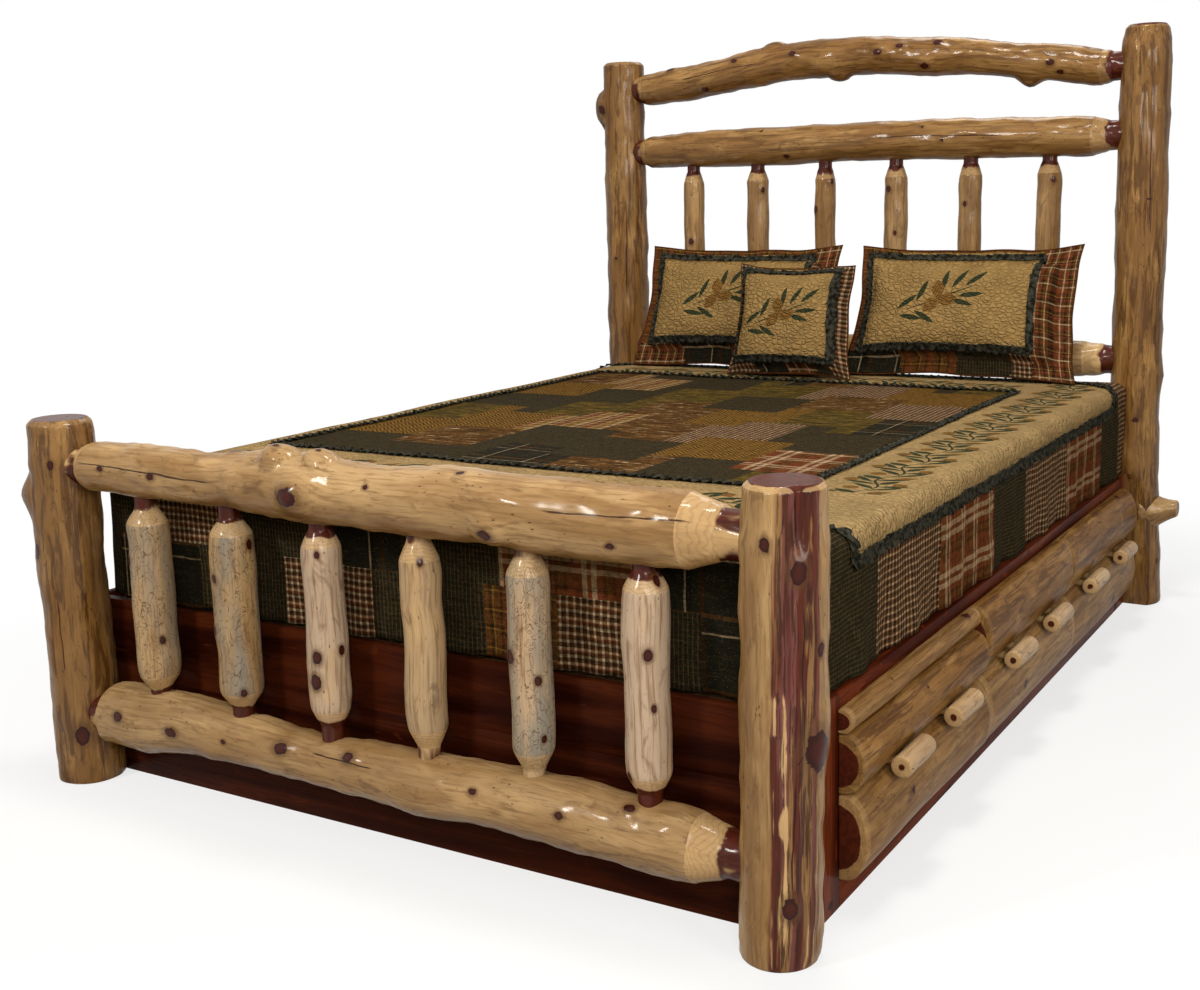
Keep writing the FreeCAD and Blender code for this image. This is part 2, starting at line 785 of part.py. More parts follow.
# Drawers, each drawn about the middle of its front, with its own X pointing outwards
def drawer_box(name, width):
    """Five boards of one drawer box."""
    outer = "(%s - front_overlap * 2 - box_side_clearance * 2)" % width
    inner = "(%s - front_overlap * 2 - box_side_clearance * 2 - box_board * 2)" % width
    back = "front_gap - " + BOX_DEPTH
    behind_front = "front_gap - box_board"
    edge = outer + " / -2"
    boards = [
        box(name + "_front_board", behind_front, edge, BOX_BOTTOM, "box_board", outer, "box_height"),
        box(name + "_back_board", back, inner + " / -2", BOX_BOTTOM, "box_board", inner, "box_height"),
        box(
            name + "_bottom_board",
            back + " + box_board",
            inner + " / -2",
            BOX_BOTTOM + " + box_bottom_lift",
            BOX_DEPTH + " - box_board * 2",
            inner,
            "box_bottom_board",
        ),
    ]
    for hand, y in (("near", edge), ("far", inner + " / 2")):
        side_name = "%s_%s_board" % (name, hand)
        side_length = BOX_DEPTH + " - box_board"
        boards.append(box(side_name, back, y, BOX_BOTTOM, side_length, "box_board", "box_height"))
    return group(name + "_boards", boards)


def slab(name, low, high, proud, width):
    """One half log slab: a flat back, two sawn lips and a round face, as long as the front."""
    below = "slab_seam / 2" if low > 0 else "0"
    above = "slab_seam / 2" if high < 1 else "0"
    height = "(front_height * %g - %s - %s)" % (high - low, below, above)
    rise = "(slab_proud * %g - slab_lip)" % proud
    lip = size("slab_lip")
    tall = size("front_height") * (high - low)
    body = document.addObject("PartDesign::Body", name)
    sketch = body.newObject("Sketcher::SketchObject", name + "_section")
    plane = [plane for plane in body.Origin.OriginFeatures if plane.Role == "XZ_Plane"][0]
    sketch.AttachmentSupport = [(plane, "")]
    sketch.MapMode = "FlatFace"
    corners = [
        FreeCAD.Vector(0, 0, 0),
        FreeCAD.Vector(lip, 0, 0),
        FreeCAD.Vector(lip, tall, 0),
        FreeCAD.Vector(0, tall, 0),
    ]
    crown = FreeCAD.Vector(size("slab_proud") * proud, tall / 2, 0)
    sketch.addGeometry(Part.LineSegment(corners[0], corners[1]), False)
    sketch.addGeometry(Part.Arc(corners[1], crown, corners[2]), False)
    sketch.addGeometry(Part.LineSegment(corners[2], corners[3]), False)
    sketch.addGeometry(Part.LineSegment(corners[3], corners[0]), False)
    for index in range(len(corners)):
        sketch.addConstraint(Sketcher.Constraint("Coincident", index, 2, (index + 1) % 4, 1))
    sketch.addConstraint(Sketcher.Constraint("Coincident", 0, 1, -1, 1))
    sketch.addConstraint(Sketcher.Constraint("Horizontal", 0))
    sketch.addConstraint(Sketcher.Constraint("Horizontal", 2))
    sketch.addConstraint(Sketcher.Constraint("Vertical", 3))
    drive(sketch, Sketcher.Constraint("DistanceX", 0, 1, 0, 2, lip), "slab_lip")
    drive(sketch, Sketcher.Constraint("DistanceY", 3, 2, 3, 1, tall), height)
    radius = "(%s * %s / 4 + %s * %s) / (%s * 2)" % (height, height, rise, rise, rise)
    drive(sketch, Sketcher.Constraint("Radius", 1, sketch.Geometry[1].Radius), radius)
    pad = body.newObject("PartDesign::Pad", name + "_length")
    pad.Profile = sketch
    pad.Midplane = True
    bind(pad, Length=width + " - front_reveal")
    return place(body, "front_gap", "0", "front_bottom + front_height * %g + %s" % (low, below))


def drawer(side, bay_index):
    """Box, half log front and log pulls of one drawer."""
    bay, width, seams, prouds = BAYS[bay_index]
    name = "%s_%s_drawer" % (side, bay)
    slabs = []
    for index, proud in enumerate(prouds):
        slabs.append(slab("%s_slab_%d" % (name, index), seams[index], seams[index + 1], proud, width))
    pulls = []
    holes = []
    for hand, pull_sign in (("near", -1), ("far", 1)):
        middle = "%s * %g" % (width, PULL_SPACING_SHARES[bay_index] / 2 * pull_sign)
        bar = stick(
            "%s_%s_bar" % (name, hand),
            STICK_SIDES,
            "pull_diameter",
            "pull_length",
            "pull_reach",
            middle + " - pull_length / 2",
            "pull_height",
            TO_HEAD,
        )
        pegs = []
        for peg_sign in (-1, 1):
            peg_name = "%s_%s_peg_%d" % (name, hand, peg_sign + 1)
            across = "%s + pull_peg_spacing / 2 * %d" % (middle, peg_sign)
            peg_place = ("front_gap", across, "pull_height", TO_RIGHT)
            pegs.append(stick(peg_name, PEG_SIDES, "pull_peg_diameter", "pull_reach - front_gap", *peg_place))
            hole_diameter = "pull_peg_diameter + tenon_slack * 2"
            holes.append(stick(peg_name + "_hole", PEG_SIDES, hole_diameter, "slab_proud", *peg_place))
        pulls.append(joined("%s_%s_pull" % (name, hand), [bar] + pegs))
    front = cut(name + "_bored_front", group(name + "_slabs", slabs), holes)
    bay_middle = "(%s + %s) / 2" % (FRONT_EDGES[bay_index], FRONT_EDGES[bay_index + 1])
    face = HALF_CASE if side == "right" else "-" + HALF_CASE
    outwards = UPRIGHT if side == "right" else FreeCAD.Rotation(FreeCAD.Vector(0, 0, 1), 180)
    for piece, thing in (
        ("box", drawer_box(name, width)),
        ("front", front),
        ("pulls", group(name + "_bars", pulls)),
    ):
        place(thing, face, bay_middle, "0", outwards)
        node(thing, "%s_%s" % (name, piece))


# Mattress and bedding
def mattress():
    """Mattress with rounded corners, sunk a little into the case against the head panel."""
    body = document.addObject("PartDesign::Body", "mattress")
    block = body.newObject("PartDesign::AdditiveBox", "mattress_block")
    bind(block, Length="mattress_width", Width="mattress_length", Height="mattress_thickness")
    document.recompute()
    upright = []
    for index, edge in enumerate(block.Shape.Edges, 1):
        bounds = edge.BoundBox
        if bounds.ZLength > bounds.XLength + bounds.YLength:
            upright.append("Edge%d" % index)
    corners = body.newObject("PartDesign::Fillet", "mattress_corners")
    corners.Base = (block, upright)
    bind(corners, Radius="mattress_corner")
    place(body, "-mattress_width / 2", CASE_INSIDE_END + " - mattress_length", DECK_TOP)
    node(body, "mattress")


def arc_or_line(start, end, bulge):
    """An edge from start to end that stands out by the bulge vector at its middle."""
    if bulge.Length == 0:
        return Part.makeLine(start, end)
    return Part.Arc(start, (start + end) / 2 + bulge, end).toShape()


def quilt_outline(spread, fold, height):
    """Outline of the quilt at one height: a run of folds along each long side and the foot."""
    half = size("mattress_width") / 2
    head = size("post_line_spacing") / 2 - size("post_seat") - size("case_board")
    foot = head - size("mattress_length")
    corner = size("mattress_corner")
    side = half + spread
    edges = []

    def run(start, end, outward, count):
        step = (end - start) / count
        for index in range(count):
            bulge = outward * (fold if index % 2 else -fold)
            edges.append(arc_or_line(start + step * index, start + step * (index + 1), bulge))

    def turn(start, middle, end):
        edges.append(Part.Arc(start, middle, end).toShape())

    reach = corner + spread
    diagonal = reach * math.sqrt(0.5)
    for sign in (1, -1):
        head_corner = FreeCAD.Vector(sign * side, head, height)
        foot_corner = FreeCAD.Vector(sign * side, foot + corner, height)
        foot_start = FreeCAD.Vector(sign * (half - corner), foot - spread, height)
        centre = FreeCAD.Vector(sign * (half - corner), foot + corner, height)
        middle = centre + FreeCAD.Vector(sign * diagonal, -diagonal, 0)
        if sign > 0:
            run(head_corner, foot_corner, FreeCAD.Vector(1, 0, 0), SIDE_FOLDS)
            turn(foot_corner, middle, foot_start)
            foot_end = FreeCAD.Vector(corner - half, foot - spread, height)
            run(foot_start, foot_end, FreeCAD.Vector(0, -1, 0), FOOT_FOLDS)
        else:
            turn(foot_start, middle, foot_corner)
            run(foot_corner, head_corner, FreeCAD.Vector(-1, 0, 0), SIDE_FOLDS)
    edges.append(Part.makeLine(
        FreeCAD.Vector(-side, head, height),
        FreeCAD.Vector(side, head, height),
    ))
    return Part.Wire(edges)


def quilt():
    """Quilt over the mattress: a thin top and three hanging sides with shallow folds."""
    hem = size("case_height") + size("quilt_hem_lift")
    clearance = size("soft_clearance")
    mattress_top = size("case_height") - size("deck_recess") + size("mattress_thickness")
    top = mattress_top + clearance + size("quilt_thickness")
    edge_round = size("quilt_edge_round")
    shoulder = top - edge_round
    reach = size("quilt_side_reach")
    fold = size("quilt_fold_depth")
    outlines = []
    for drop, share in zip(QUILT_DROP_SHARES, QUILT_FOLD_SHARES):
        outlines.append(quilt_outline(reach, fold * share, hem + (shoulder - hem) * drop))
    outlines.append(quilt_outline(reach, 0, shoulder))
    outlines.append(quilt_outline(reach - edge_round, 0, top))
    cloth = Part.makeLoft(outlines, True, True)
    half = size("mattress_width") / 2 + clearance
    head = size("post_line_spacing") / 2 - size("post_seat") - size("case_board")
    foot = head - size("mattress_length") - clearance
    overrun = size("overrun")
    hollow = Part.makeBox(
        half * 2,
        head - foot + overrun,
        mattress_top + clearance - hem + overrun,
        FreeCAD.Vector(-half, foot, hem - overrun),
    )
    foot_edges = [
        edge for edge in hollow.Edges
        if edge.BoundBox.ZLength > overrun and edge.BoundBox.YMax < head
    ]
    hollow = hollow.makeFillet(size("mattress_corner") + clearance, foot_edges)
    thing = document.addObject("Part::Feature", "quilt_cloth")
    thing.Shape = cloth.cut(hollow)
    node(thing, "quilt")


def cushion_ring(width, height, inset, depth):
    """Outline of a cushion at one depth: four drawn in sides between its corners."""
    left = inset - width / 2
    right = width / 2 - inset
    bottom = inset
    top = height - inset
    pull = DRAWN_IN_SHARE * (top - bottom)
    corners = [
        FreeCAD.Vector(left, bottom, depth),
        FreeCAD.Vector(right, bottom, depth),
        FreeCAD.Vector(right, top, depth),
        FreeCAD.Vector(left, top, depth),
    ]
    inwards = [
        FreeCAD.Vector(0, pull, 0),
        FreeCAD.Vector(-pull, 0, 0),
        FreeCAD.Vector(0, -pull, 0),
        FreeCAD.Vector(pull, 0, 0),
    ]
    points = []
    for index, inward in enumerate(inwards):
        start = corners[index]
        run = corners[(index + 1) % len(corners)] - start
        for step in range(SEAM_STEPS):
            along = step / SEAM_STEPS
            points.append(start + run * along + inward * (4 * along * (1 - along)))
    return points


def flat_face(points):
    """A flat face inside the given points."""
    return Part.Face(Part.makePolygon(points + points[:1]))


def ruled_solid(rings):
    """A closed solid of flat triangles between rings that have as many points each."""
    faces = [flat_face(rings[0]), flat_face(rings[-1])]
    for lower, upper in zip(rings, rings[1:]):
        for index in range(len(lower)):
            following = (index + 1) % len(lower)
            faces.append(flat_face([lower[index], lower[following], upper[following]]))
            faces.append(flat_face([lower[index], upper[following], upper[index]]))
    return Part.makeSolid(Part.makeShell(faces))


def cushion(width, height, front_crown, back_crown, margin):
    """A crowned cushion in the plane of its seam, standing on its lower edge."""
    inside = height - margin * 2
    rings = []
    for depth, inset in reversed(CROWN_SHARES[1:]):
        rings.append(cushion_ring(width, height, margin + inset * inside, -depth * back_crown))
    for depth, inset in CROWN_SHARES:
        rings.append(cushion_ring(width, height, margin + inset * inside, depth * front_crown))
    return ruled_solid(rings)


def lean(shape, label, lean_angle, side, foot_line, lift):
    """Stand a cushion on the quilt, leaning back, as a sub-part."""
    quilt_top = (
        size("case_height") - size("deck_recess") + size("mattress_thickness")
        + size("quilt_thickness") + size("soft_clearance")
    )
    thing = document.addObject("Part::Feature", label + "_cloth")
    thing.Shape = shape
    thing.Placement = FreeCAD.Placement(
        FreeCAD.Vector(side, foot_line, quilt_top + size("soft_clearance") + lift),
        FreeCAD.Rotation(ACROSS_BED, 90 - lean_angle),
    )
    node(thing, label)


def pillows():
    """Two flanged shams that lean on the headboard and a square cushion before them."""
    width = size("sham_width")
    height = size("sham_height")
    margin = size("sham_flange")
    back_crown = size("sham_back_crown")
    half_flange = size("sham_flange_thickness") / 2
    flange = flat_face(cushion_ring(width, height, 0, -half_flange)).extrude(
        FreeCAD.Vector(0, 0, half_flange * 2)
    )
    sham = cushion(width, height, size("sham_front_crown"), back_crown, margin).fuse(flange)
    sine = math.sin(math.radians(SHAM_LEAN))
    cosine = math.cos(math.radians(SHAM_LEAN))
    back_reaches = [height * sine + half_flange * cosine]
    for depth, inset in CROWN_SHARES:
        upper = height - margin - inset * (height - margin * 2)
        back_reaches.append(upper * sine + depth * back_crown * cosine)
    spindle_front = size("post_line_spacing") / 2
    spindle_front -= size("head_spindle_diameter") * max(HEAD_SPINDLE_SHARES) / 2
    foot_line = spindle_front - size("soft_clearance") - max(back_reaches)
    lean(sham, "sham_right", SHAM_LEAN, size("right_sham_side"), foot_line, half_flange * sine)
    lean(sham, "sham_left", SHAM_LEAN, size("left_sham_side"), foot_line, half_flange * sine)
    accent = cushion(
        size("accent_width"),
        size("accent_height"),
        size("accent_front_crown"),
        size("accent_back_crown"),
        0,
    )
    lean(accent, "accent_pillow", ACCENT_LEAN, size("accent_side"), size("accent_foot_line"), 0)


posts()
rails()
spindles()
for side_name, sign in SIDES:
    side_frame(side_name, sign)
end_panel("foot")
end_panel("head")
bed_bolts()
case_inside()
for side_name, sign in SIDES:
    for number in range(len(BAYS)):
        drawer(side_name, number)
mattress()
quilt()
pillows()
document.recompute()

for thing in document.Objects:
    if "Invalid" in thing.State or "Error" in thing.State:
        raise RuntimeError("%s is %s" % (thing.Name, thing.State))
for thing in nodes:
    if thing.Shape.isNull() or not thing.Shape.isValid() or not thing.Shape.Solids:
        raise RuntimeError("%s has no valid solid" % thing.Label)

os.makedirs("parts", exist_ok=True)
for thing in nodes:
    thing.Shape.exportStep("parts/%s.step" % thing.Label)
print("%d sub-parts, %d solids" % (len(nodes), sum(len(thing.Shape.Solids) for thing in nodes)))
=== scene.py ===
"""Rustic log bed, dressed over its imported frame.

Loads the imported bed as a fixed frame, models each visible piece over it and sets the stage.
Lengths are in metres. X runs across the bed, Y from foot to head and Z up.
"""

import math
import random

import bpy
import numpy as np
from mathutils import Matrix, Vector, bvhtree, noise


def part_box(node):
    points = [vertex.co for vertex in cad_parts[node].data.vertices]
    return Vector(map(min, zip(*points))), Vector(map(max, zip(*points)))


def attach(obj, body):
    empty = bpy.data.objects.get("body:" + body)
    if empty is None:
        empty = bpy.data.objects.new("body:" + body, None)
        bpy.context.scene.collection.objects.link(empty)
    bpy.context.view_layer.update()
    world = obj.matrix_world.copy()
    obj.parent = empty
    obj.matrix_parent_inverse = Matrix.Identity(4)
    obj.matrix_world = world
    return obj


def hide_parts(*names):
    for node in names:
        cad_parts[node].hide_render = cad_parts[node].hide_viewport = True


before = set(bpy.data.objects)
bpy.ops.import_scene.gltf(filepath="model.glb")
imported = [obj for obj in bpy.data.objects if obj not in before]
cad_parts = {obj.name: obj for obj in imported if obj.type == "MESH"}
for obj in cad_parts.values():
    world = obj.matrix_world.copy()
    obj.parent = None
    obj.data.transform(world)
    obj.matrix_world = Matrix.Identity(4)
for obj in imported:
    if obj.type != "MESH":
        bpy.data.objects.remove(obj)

bl_info = {
    "name": "Rustic Log Bed",
    "version": (1, 0, 0),
    "blender": (4, 5, 0),
    "location": "View3D > Sidebar > Log Bed",
    "description": "Models a made-up storage bed of peeled logs over its packed frame",
    "category": "Add Mesh",
}

FOOT_LINE = -1.091
HEAD_LINE = 1.091
FOOT_POST_X = 0.7625
HEAD_POST_X = 0.782
LINES = {"foot": FOOT_LINE, "head": HEAD_LINE}
CASE_FACE = 0.782
POST_SEAT = 0.0502
POST_SEAT_TOP = 0.3575



def metres(millimetres):
    """A length in metres."""
    return round(millimetres / 1000, 6)


def rings_in_metres(table):
    """A table of rings, given in millimetres, in metres."""
    return {
        name: tuple(tuple(metres(part) for part in ring) for ring in rings)
        for name, rings in table.items()
    }


# Rings of each log in millimetres: place along it, radius, wander sideways, wander up or back
POST_RINGS = rings_in_metres({
    "foot_post_left": (
        (0, 65, 0, 0), (100, 66.5, 1, 1), (210, 65.5, -1, 2), (330, 64.5, 1, 0), (430, 65, 0, -1),
        (530, 66, -1, 0), (620, 65.5, 1, 1), (675, 64, 0, 0), (716, 62.5, 0, 0),
    ),
    "foot_post_right": (
        (0, 63.5, -3, 0), (90, 64.5, 0, 1), (200, 64, 2, 0), (330, 66, 4, -1), (420, 66.5, 6, 0),
        (500, 64, 8, 1), (585, 66.5, 7, 0), (650, 65.5, 9, 0), (716, 63.5, 10, 0),
    ),
    "head_post_left": (
        (0, 68, 0, 0), (200, 66, -2, 1), (420, 66.5, -1, 0), (660, 65, 1, -1), (860, 66, 0, 1),
        (1100, 65.5, 2, 0), (1280, 65, 0, 1), (1420, 64, 1, 0), (1504, 62.5, 3, 0),
    ),
    "head_post_right": (
        (0, 80, 8, 0), (70, 77.5, 7, 1), (150, 74.5, 5, 0), (250, 70, 3, 1), (360, 66.5, 1, 0),
        (580, 64.5, 0, -1), (830, 66, 1, 1), (1080, 64, -1, 0), (1300, 64.5, -2, 1),
        (1455, 63.5, -2, 0), (1478, 62, -1, 0), (1489, 57.5, 0, 0), (1505, 55.5, 0, 0),
    ),
})
RAIL_RINGS = rings_in_metres({
    "foot_top_rail": (
        (-668, 48, 0, 635), (-614, 50, 0, 638), (-540, 51.5, 1, 637), (-458, 50, 0, 638),
        (-385, 49, 0, 636), (-323, 50, -1, 636), (-265, 55.5, 0, 640), (-205, 60, 0, 641),
        (-151, 62, 0, 638), (-95, 61.5, 1, 641), (-41, 56, 0, 635), (20, 57, 0, 634), (100, 60, 1, 636),
        (186, 62.5, 0, 640), (257, 61, 0, 637), (376, 62, -1, 637), (497, 62.2, 0, 636),
        (575, 60.5, 0, 636), (618, 59.5, 0, 636),
    ),
    "foot_bottom_rail": (
        (-664, 61, 0, 145), (-610, 64, 0, 146), (-560, 65, 0, 146), (-500, 61, 0, 152),
        (-452, 59, 0, 158), (-385, 54, 0, 154), (-315, 51, 0, 149), (-240, 47, 0, 147),
        (-163, 45, 0, 146), (-90, 48, 0, 144), (-18, 53, 0, 144), (60, 55.5, 0, 143),
        (129, 56.5, 0, 143), (200, 55, 0, 146), (267, 55, 0, 148), (330, 59.5, 0, 149),
        (399, 61, 0, 149), (522, 57, 0, 143), (590, 58.5, 0, 141), (626, 57.5, 0, 141),
    ),
    "head_arch_rail": (
        (-690, 47, 0, 1428), (-610, 51, 0, 1434), (-531, 51, 1, 1442), (-460, 53, 0, 1452),
        (-394, 54.5, 0, 1463), (-310, 53, -1, 1474), (-223, 54, 0, 1481), (-150, 53, 1, 1485),
        (-60, 56, 0, 1484), (28, 54, 0, 1484), (100, 53, 0, 1480), (171, 54, 0, 1474),
        (240, 51.5, 1, 1469), (312, 49, 0, 1466), (413, 48, 0, 1451), (523, 46.5, 0, 1437),
        (590, 49, 0, 1427), (641, 50, 0, 1418), (668, 48, 0, 1415),
    ),
    "head_upper_rail": (
        (-680, 50, 0, 1243), (-560, 53, 0, 1245), (-430, 55, 0, 1246), (-303, 56, 0, 1247),
        (-120, 54.5, 0, 1247), (78, 56, 0, 1248), (240, 55.5, 0, 1247), (404, 56, 0, 1246),
        (540, 54.5, 0, 1242), (654, 52, 0, 1240),
    ),
    "head_lower_rail": (
        (-664, 48, 0, 652), (-400, 49, 0, 653), (-130, 48.5, 0, 652), (150, 49, 0, 651),
        (400, 48.5, 0, 652), (570, 49.5, 0, 652), (648, 48.5, 0, 652),
    ),
})
# Where each rail's shoulder ends and its bare tenon starts, at both ends, and the tenon radius
RAIL_NECKS = {
    "foot_top_rail": (-0.692, 0.684, 0.0385),
    "foot_bottom_rail": (-0.692, 0.684, 0.0385),
    "head_arch_rail": (-0.716, 0.702, 0.0385),
    "head_upper_rail": (-0.708, 0.698, 0.0385),
    "head_lower_rail": (-0.706, 0.706, 0.0385),
}
RAIL_TIPS = {"foot": 0.735, "head": 0.752}
# Turns a log drawn along Z so that it runs along X
ALONG_X = Matrix(((0, 0, 1), (1, 0, 0), (0, 1, 0)))
# Angles that turn a cylinder so that it runs along Y
ALONG_Y = (math.pi / 2, 0, 0)
FOOT_SPINDLE_RADII = (0.0420, 0.0425, 0.0378, 0.0371, 0.0378, 0.0390)
HEAD_SPINDLE_RADII = (0.0335, 0.0350, 0.0320, 0.0345, 0.0330, 0.0340)
SPINDLE_SPACING = 0.216
# Spindles: radius of the tenon, its depth in the rail, its length, and where the varnished sapwood starts
SPINDLE_TENON = 0.0200
SPINDLE_DEPTH = 0.024
SPINDLE_NECK = 0.044
SPINDLE_CUT = 0.097

# Knots of each log: place along it in mm, angle round it in degrees, radius in mm, how proud it stands
KNOTS = {
    "foot_post_right": (
        (644, -91, 8.5, 2), (606, -48, 13, 3), (488, -13, 8, 1), (339, -14, 23, 4), (105, -55, 12, 3),
        (300, 95, 14, 3), (520, 150, 11, 2),
    ),
    "foot_post_left": (
        (642, -60, 7, 2), (470, -112, 12, 2), (103, -50, 15, 1), (571, -160, 19, 26), (330, 60, 13, 3),
        (215, -150, 9, 2),
    ),
    "head_post_left": (
        (1373, -127, 11, 3), (1099, -70, 7, 1), (1385, -163, 12, 26), (916, -92, 8, 2),
        (720, 100, 14, 4), (400, 170, 12, 3),
    ),
    "head_post_right": (
        (776, -19, 8, 2), (1323, -95, 7, 1), (1072, -61, 8, 1), (502, -75, 9, 2), (119, -19, 6, 1),
        (940, 80, 15, 4), (610, 5, 13, 6),
    ),
    "foot_top_rail": (
        (-466, 178, 7, 1), (-111, -178, 16, 20), (291, -158, 10, 12), (512, -157, 6, 1),
        (217, 111, 6, 1), (-178, 106, 5, 18), (-88, 102, 4, 15), (-300, 80, 11, 6), (40, 150, 5, 1),
        (420, -20, 13, 6), (-420, 10, 10, 4), (-602, 172, 5.5, 1),
    ),
    "foot_bottom_rail": (
        (-600, 162, 10, 3), (-455, 179, 10, 4), (-194, 153, 12, 5), (-40, 139, 10, 3), (229, 152, 6, 1),
        (407, 160, 7, 2), (520, 120, 8, 4), (-330, 170, 5, 1),
    ),
    "head_arch_rail": (
        (-377, 150, 8, 3), (-187, 162, 8, 3), (-269, 96, 10, 12), (-475, -141, 8, 3), (71, 174, 9, 3),
        (131, 153, 8, 3), (239, 142, 9, 4), (204, -149, 9, 3), (-58, -100, 10, 12), (546, -177, 8, 3),
        (571, -149, 7, 2), (480, -92, 14, 22), (-600, 120, 9, 5), (300, -20, 10, 4), (-140, 20, 11, 4),
    ),
    "head_upper_rail": (
        (-296, 128, 6, 1), (195, 141, 6, 1), (255, -176, 7, 2), (-211, -143, 8, 2), (420, 20, 11, 3),
        (-500, -10, 8, 2),
    ),
    "head_lower_rail": ((560, 170, 7, 2), (-200, 20, 11, 3),),
    "foot_spindle_1": ((319, -26, 6, 1), (470, -120, 7, 2),),
    "foot_spindle_2": (
        (522, 5, 7.5, 2), (463, -97, 6.5, 2), (364, -113, 7, 3), (250, -40, 6, 1),
    ),
    "foot_spindle_3": (
        (348, -78, 9, 2), (303, -86, 11, 2), (357, -8, 6.5, 1), (530, -60, 5, 1),
    ),
    "foot_spindle_4": ((430, 100, 8, 3), (540, -50, 5, 1),),
    "foot_spindle_5": (
        (407, -115, 9.5, 2), (370, -37, 6, 1), (273, -27, 5, 1),
    ),
    "foot_spindle_6": (
        (444, -55, 7.5, 1), (360, -44, 5, 1), (246, -120, 6, 1), (556, -20, 6, 1),
    ),
    "head_spindle_1": ((970, -83, 8, 3),),
    "head_spindle_2": ((1120, -40, 6, 3), (840, 90, 7, 3),),
    "head_spindle_3": ((1060, -120, 8, 5), (1140, -30, 6, 4),),
    "head_spindle_4": ((992, -73, 5, 1), (1115, -110, 7, 3),),
    "head_spindle_5": ((1070, -100, 6, 2), (880, 70, 7, 3),),
    "head_spindle_6": ((1130, -60, 6, 2),),
}
# Drying splits of each log: start along it in mm and round it in degrees, then its end likewise
SPLITS = {
    "foot_top_rail": ((-672, 162, -300, 176), (386, 161, 650, 152),),
    "foot_post_left": ((230, -72, 380, -70),),
    "foot_post_right": (
        (652, -50, 712, -52), (350, -38, 560, -42), (120, -52, 300, -48),
    ),
    "foot_bottom_rail": ((-130, 146, 20, 150),),
    "head_arch_rail": ((-560, 168, -300, 172),),
    "head_upper_rail": ((60, 170, 430, 174),),
    "head_post_right": ((980, -58, 1260, -62),),
    "head_post_left": ((820, -64, 1050, -60),),
}
# Worn grooves of each log: angle and half width in degrees, then depth, start and end along it in mm
GROOVES = {
    "foot_post_right": (
        (-46, 10, 9, 612, 800), (-53, 8, 5.2, 330, 590), (-34, 7, 5.6, 60, 480), (-76, 7, 3, 40, 420),
    ),
    "head_post_right": ((-70, 10, 3, 900, 1400),),
    "head_post_left": ((-50, 10, 3, 500, 900),),
    "foot_post_left": ((-66, 10, 3, 120, 420),),
}
# Colour of each log: heartwood radius, warmth, share of red streaks, grey stain. Warmth is partly the log's
# own deeper tone and partly painted shade: it darkens the head logs and the left foot post, which stand
# further from the lamps.
LOG_TONES = {
    "foot_post_left": (0.051, 1.00, 0.0, 0.10), "foot_post_right": (0.053, 0.72, 1.0, 0.00),
    "head_post_left": (0.046, 0.96, 0.0, 0.08), "head_post_right": (0.049, 0.96, 0.0, 0.05),
    "foot_top_rail": (0.0395, 0.61, 0.0, 0.00), "foot_bottom_rail": (0.0395, 0.62, 0.0, 0.05),
    "head_arch_rail": (0.0405, 0.88, 0.0, 0.00), "head_upper_rail": (0.0405, 0.84, 0.0, 0.00),
    "head_lower_rail": (0.0400, 0.60, 0.0, 0.00),
    "foot_spindle_1": (0.0215, 0.42, 0.0, 0.60), "foot_spindle_2": (0.0225, 0.46, 0.0, 0.95),
    "foot_spindle_3": (0.0260, 0.26, 0.0, 0.10), "foot_spindle_4": (0.0190, 0.40, 0.0, 0.24),
    "foot_spindle_5": (0.0190, 0.34, 0.0, 1.00), "foot_spindle_6": (0.0260, 0.20, 0.0, 0.00),
}
# Tone of the head spindles: their high warmth darkens them, partly as painted shade
SPINDLE_TONE = (0.0240, 0.80, 0.0, 0.10)

# Drawer bays: name, foot edge, head edge, seams of the slabs, how proud each stands, pulls
BAYS = (
    ("foot", -0.927, -0.292, (0.0, 0.505, 0.855, 1.0), (0.050, 0.045, 0.025), 0.406),
    ("middle", -0.292, 0.323, (0.0, 0.535, 1.0), (0.048, 0.046), 0.452),
    ("head", 0.323, 0.948, (0.0, 0.535, 1.0), (0.048, 0.046), 0.480),
)
FRONT_BOTTOM = 0.050
FRONT_HEIGHT = 0.285
PULL_REACH = 0.056
PULL_HEIGHT = 0.203
PULL_LENGTH = 0.118
PULL_RADIUS = 0.0195
PULL_TONE = (0.0062, 0.40, 0.0, 0.0)
PEG_RADIUS = 0.0073
PEG_TONE = (0.0001, 0.5, 0.0, 0.0)
FRONT_GAP = 0.003
PEG_SPREAD = 0.033
STILE_HALF = 0.0095

# Quilt on the made bed: its flat top, the round of its edge and its hem
QUILT_TOP = 0.6003
QUILT_EDGE = 0.028
QUILT_SIDE = 0.775
QUILT_FOOT = 1.023
QUILT_HEAD = 1.022
QUILT_HEM = 0.363
QUILT_CORNER = 0.060
QUILT_THICKNESS = 0.0045
CELL = 0.0115
CUSHION_CELL = 0.0075
RUFFLE_STEP = 0.0035
FILLING_STEPS = 20
# A distance to a knot or a split that counts as none, and how far a knot colours the wood, in knot radii
FAR = 9.0
KNOT_REACH = 2.3
# Two places nearer than this are the same
NEAR = 1e-5


# Settings
def length_property(name, description, default, low, high):
    """One length that a user can change."""
    return bpy.props.FloatProperty(
        name=name, description=description, unit="LENGTH", precision=4, default=default, min=low, max=high)


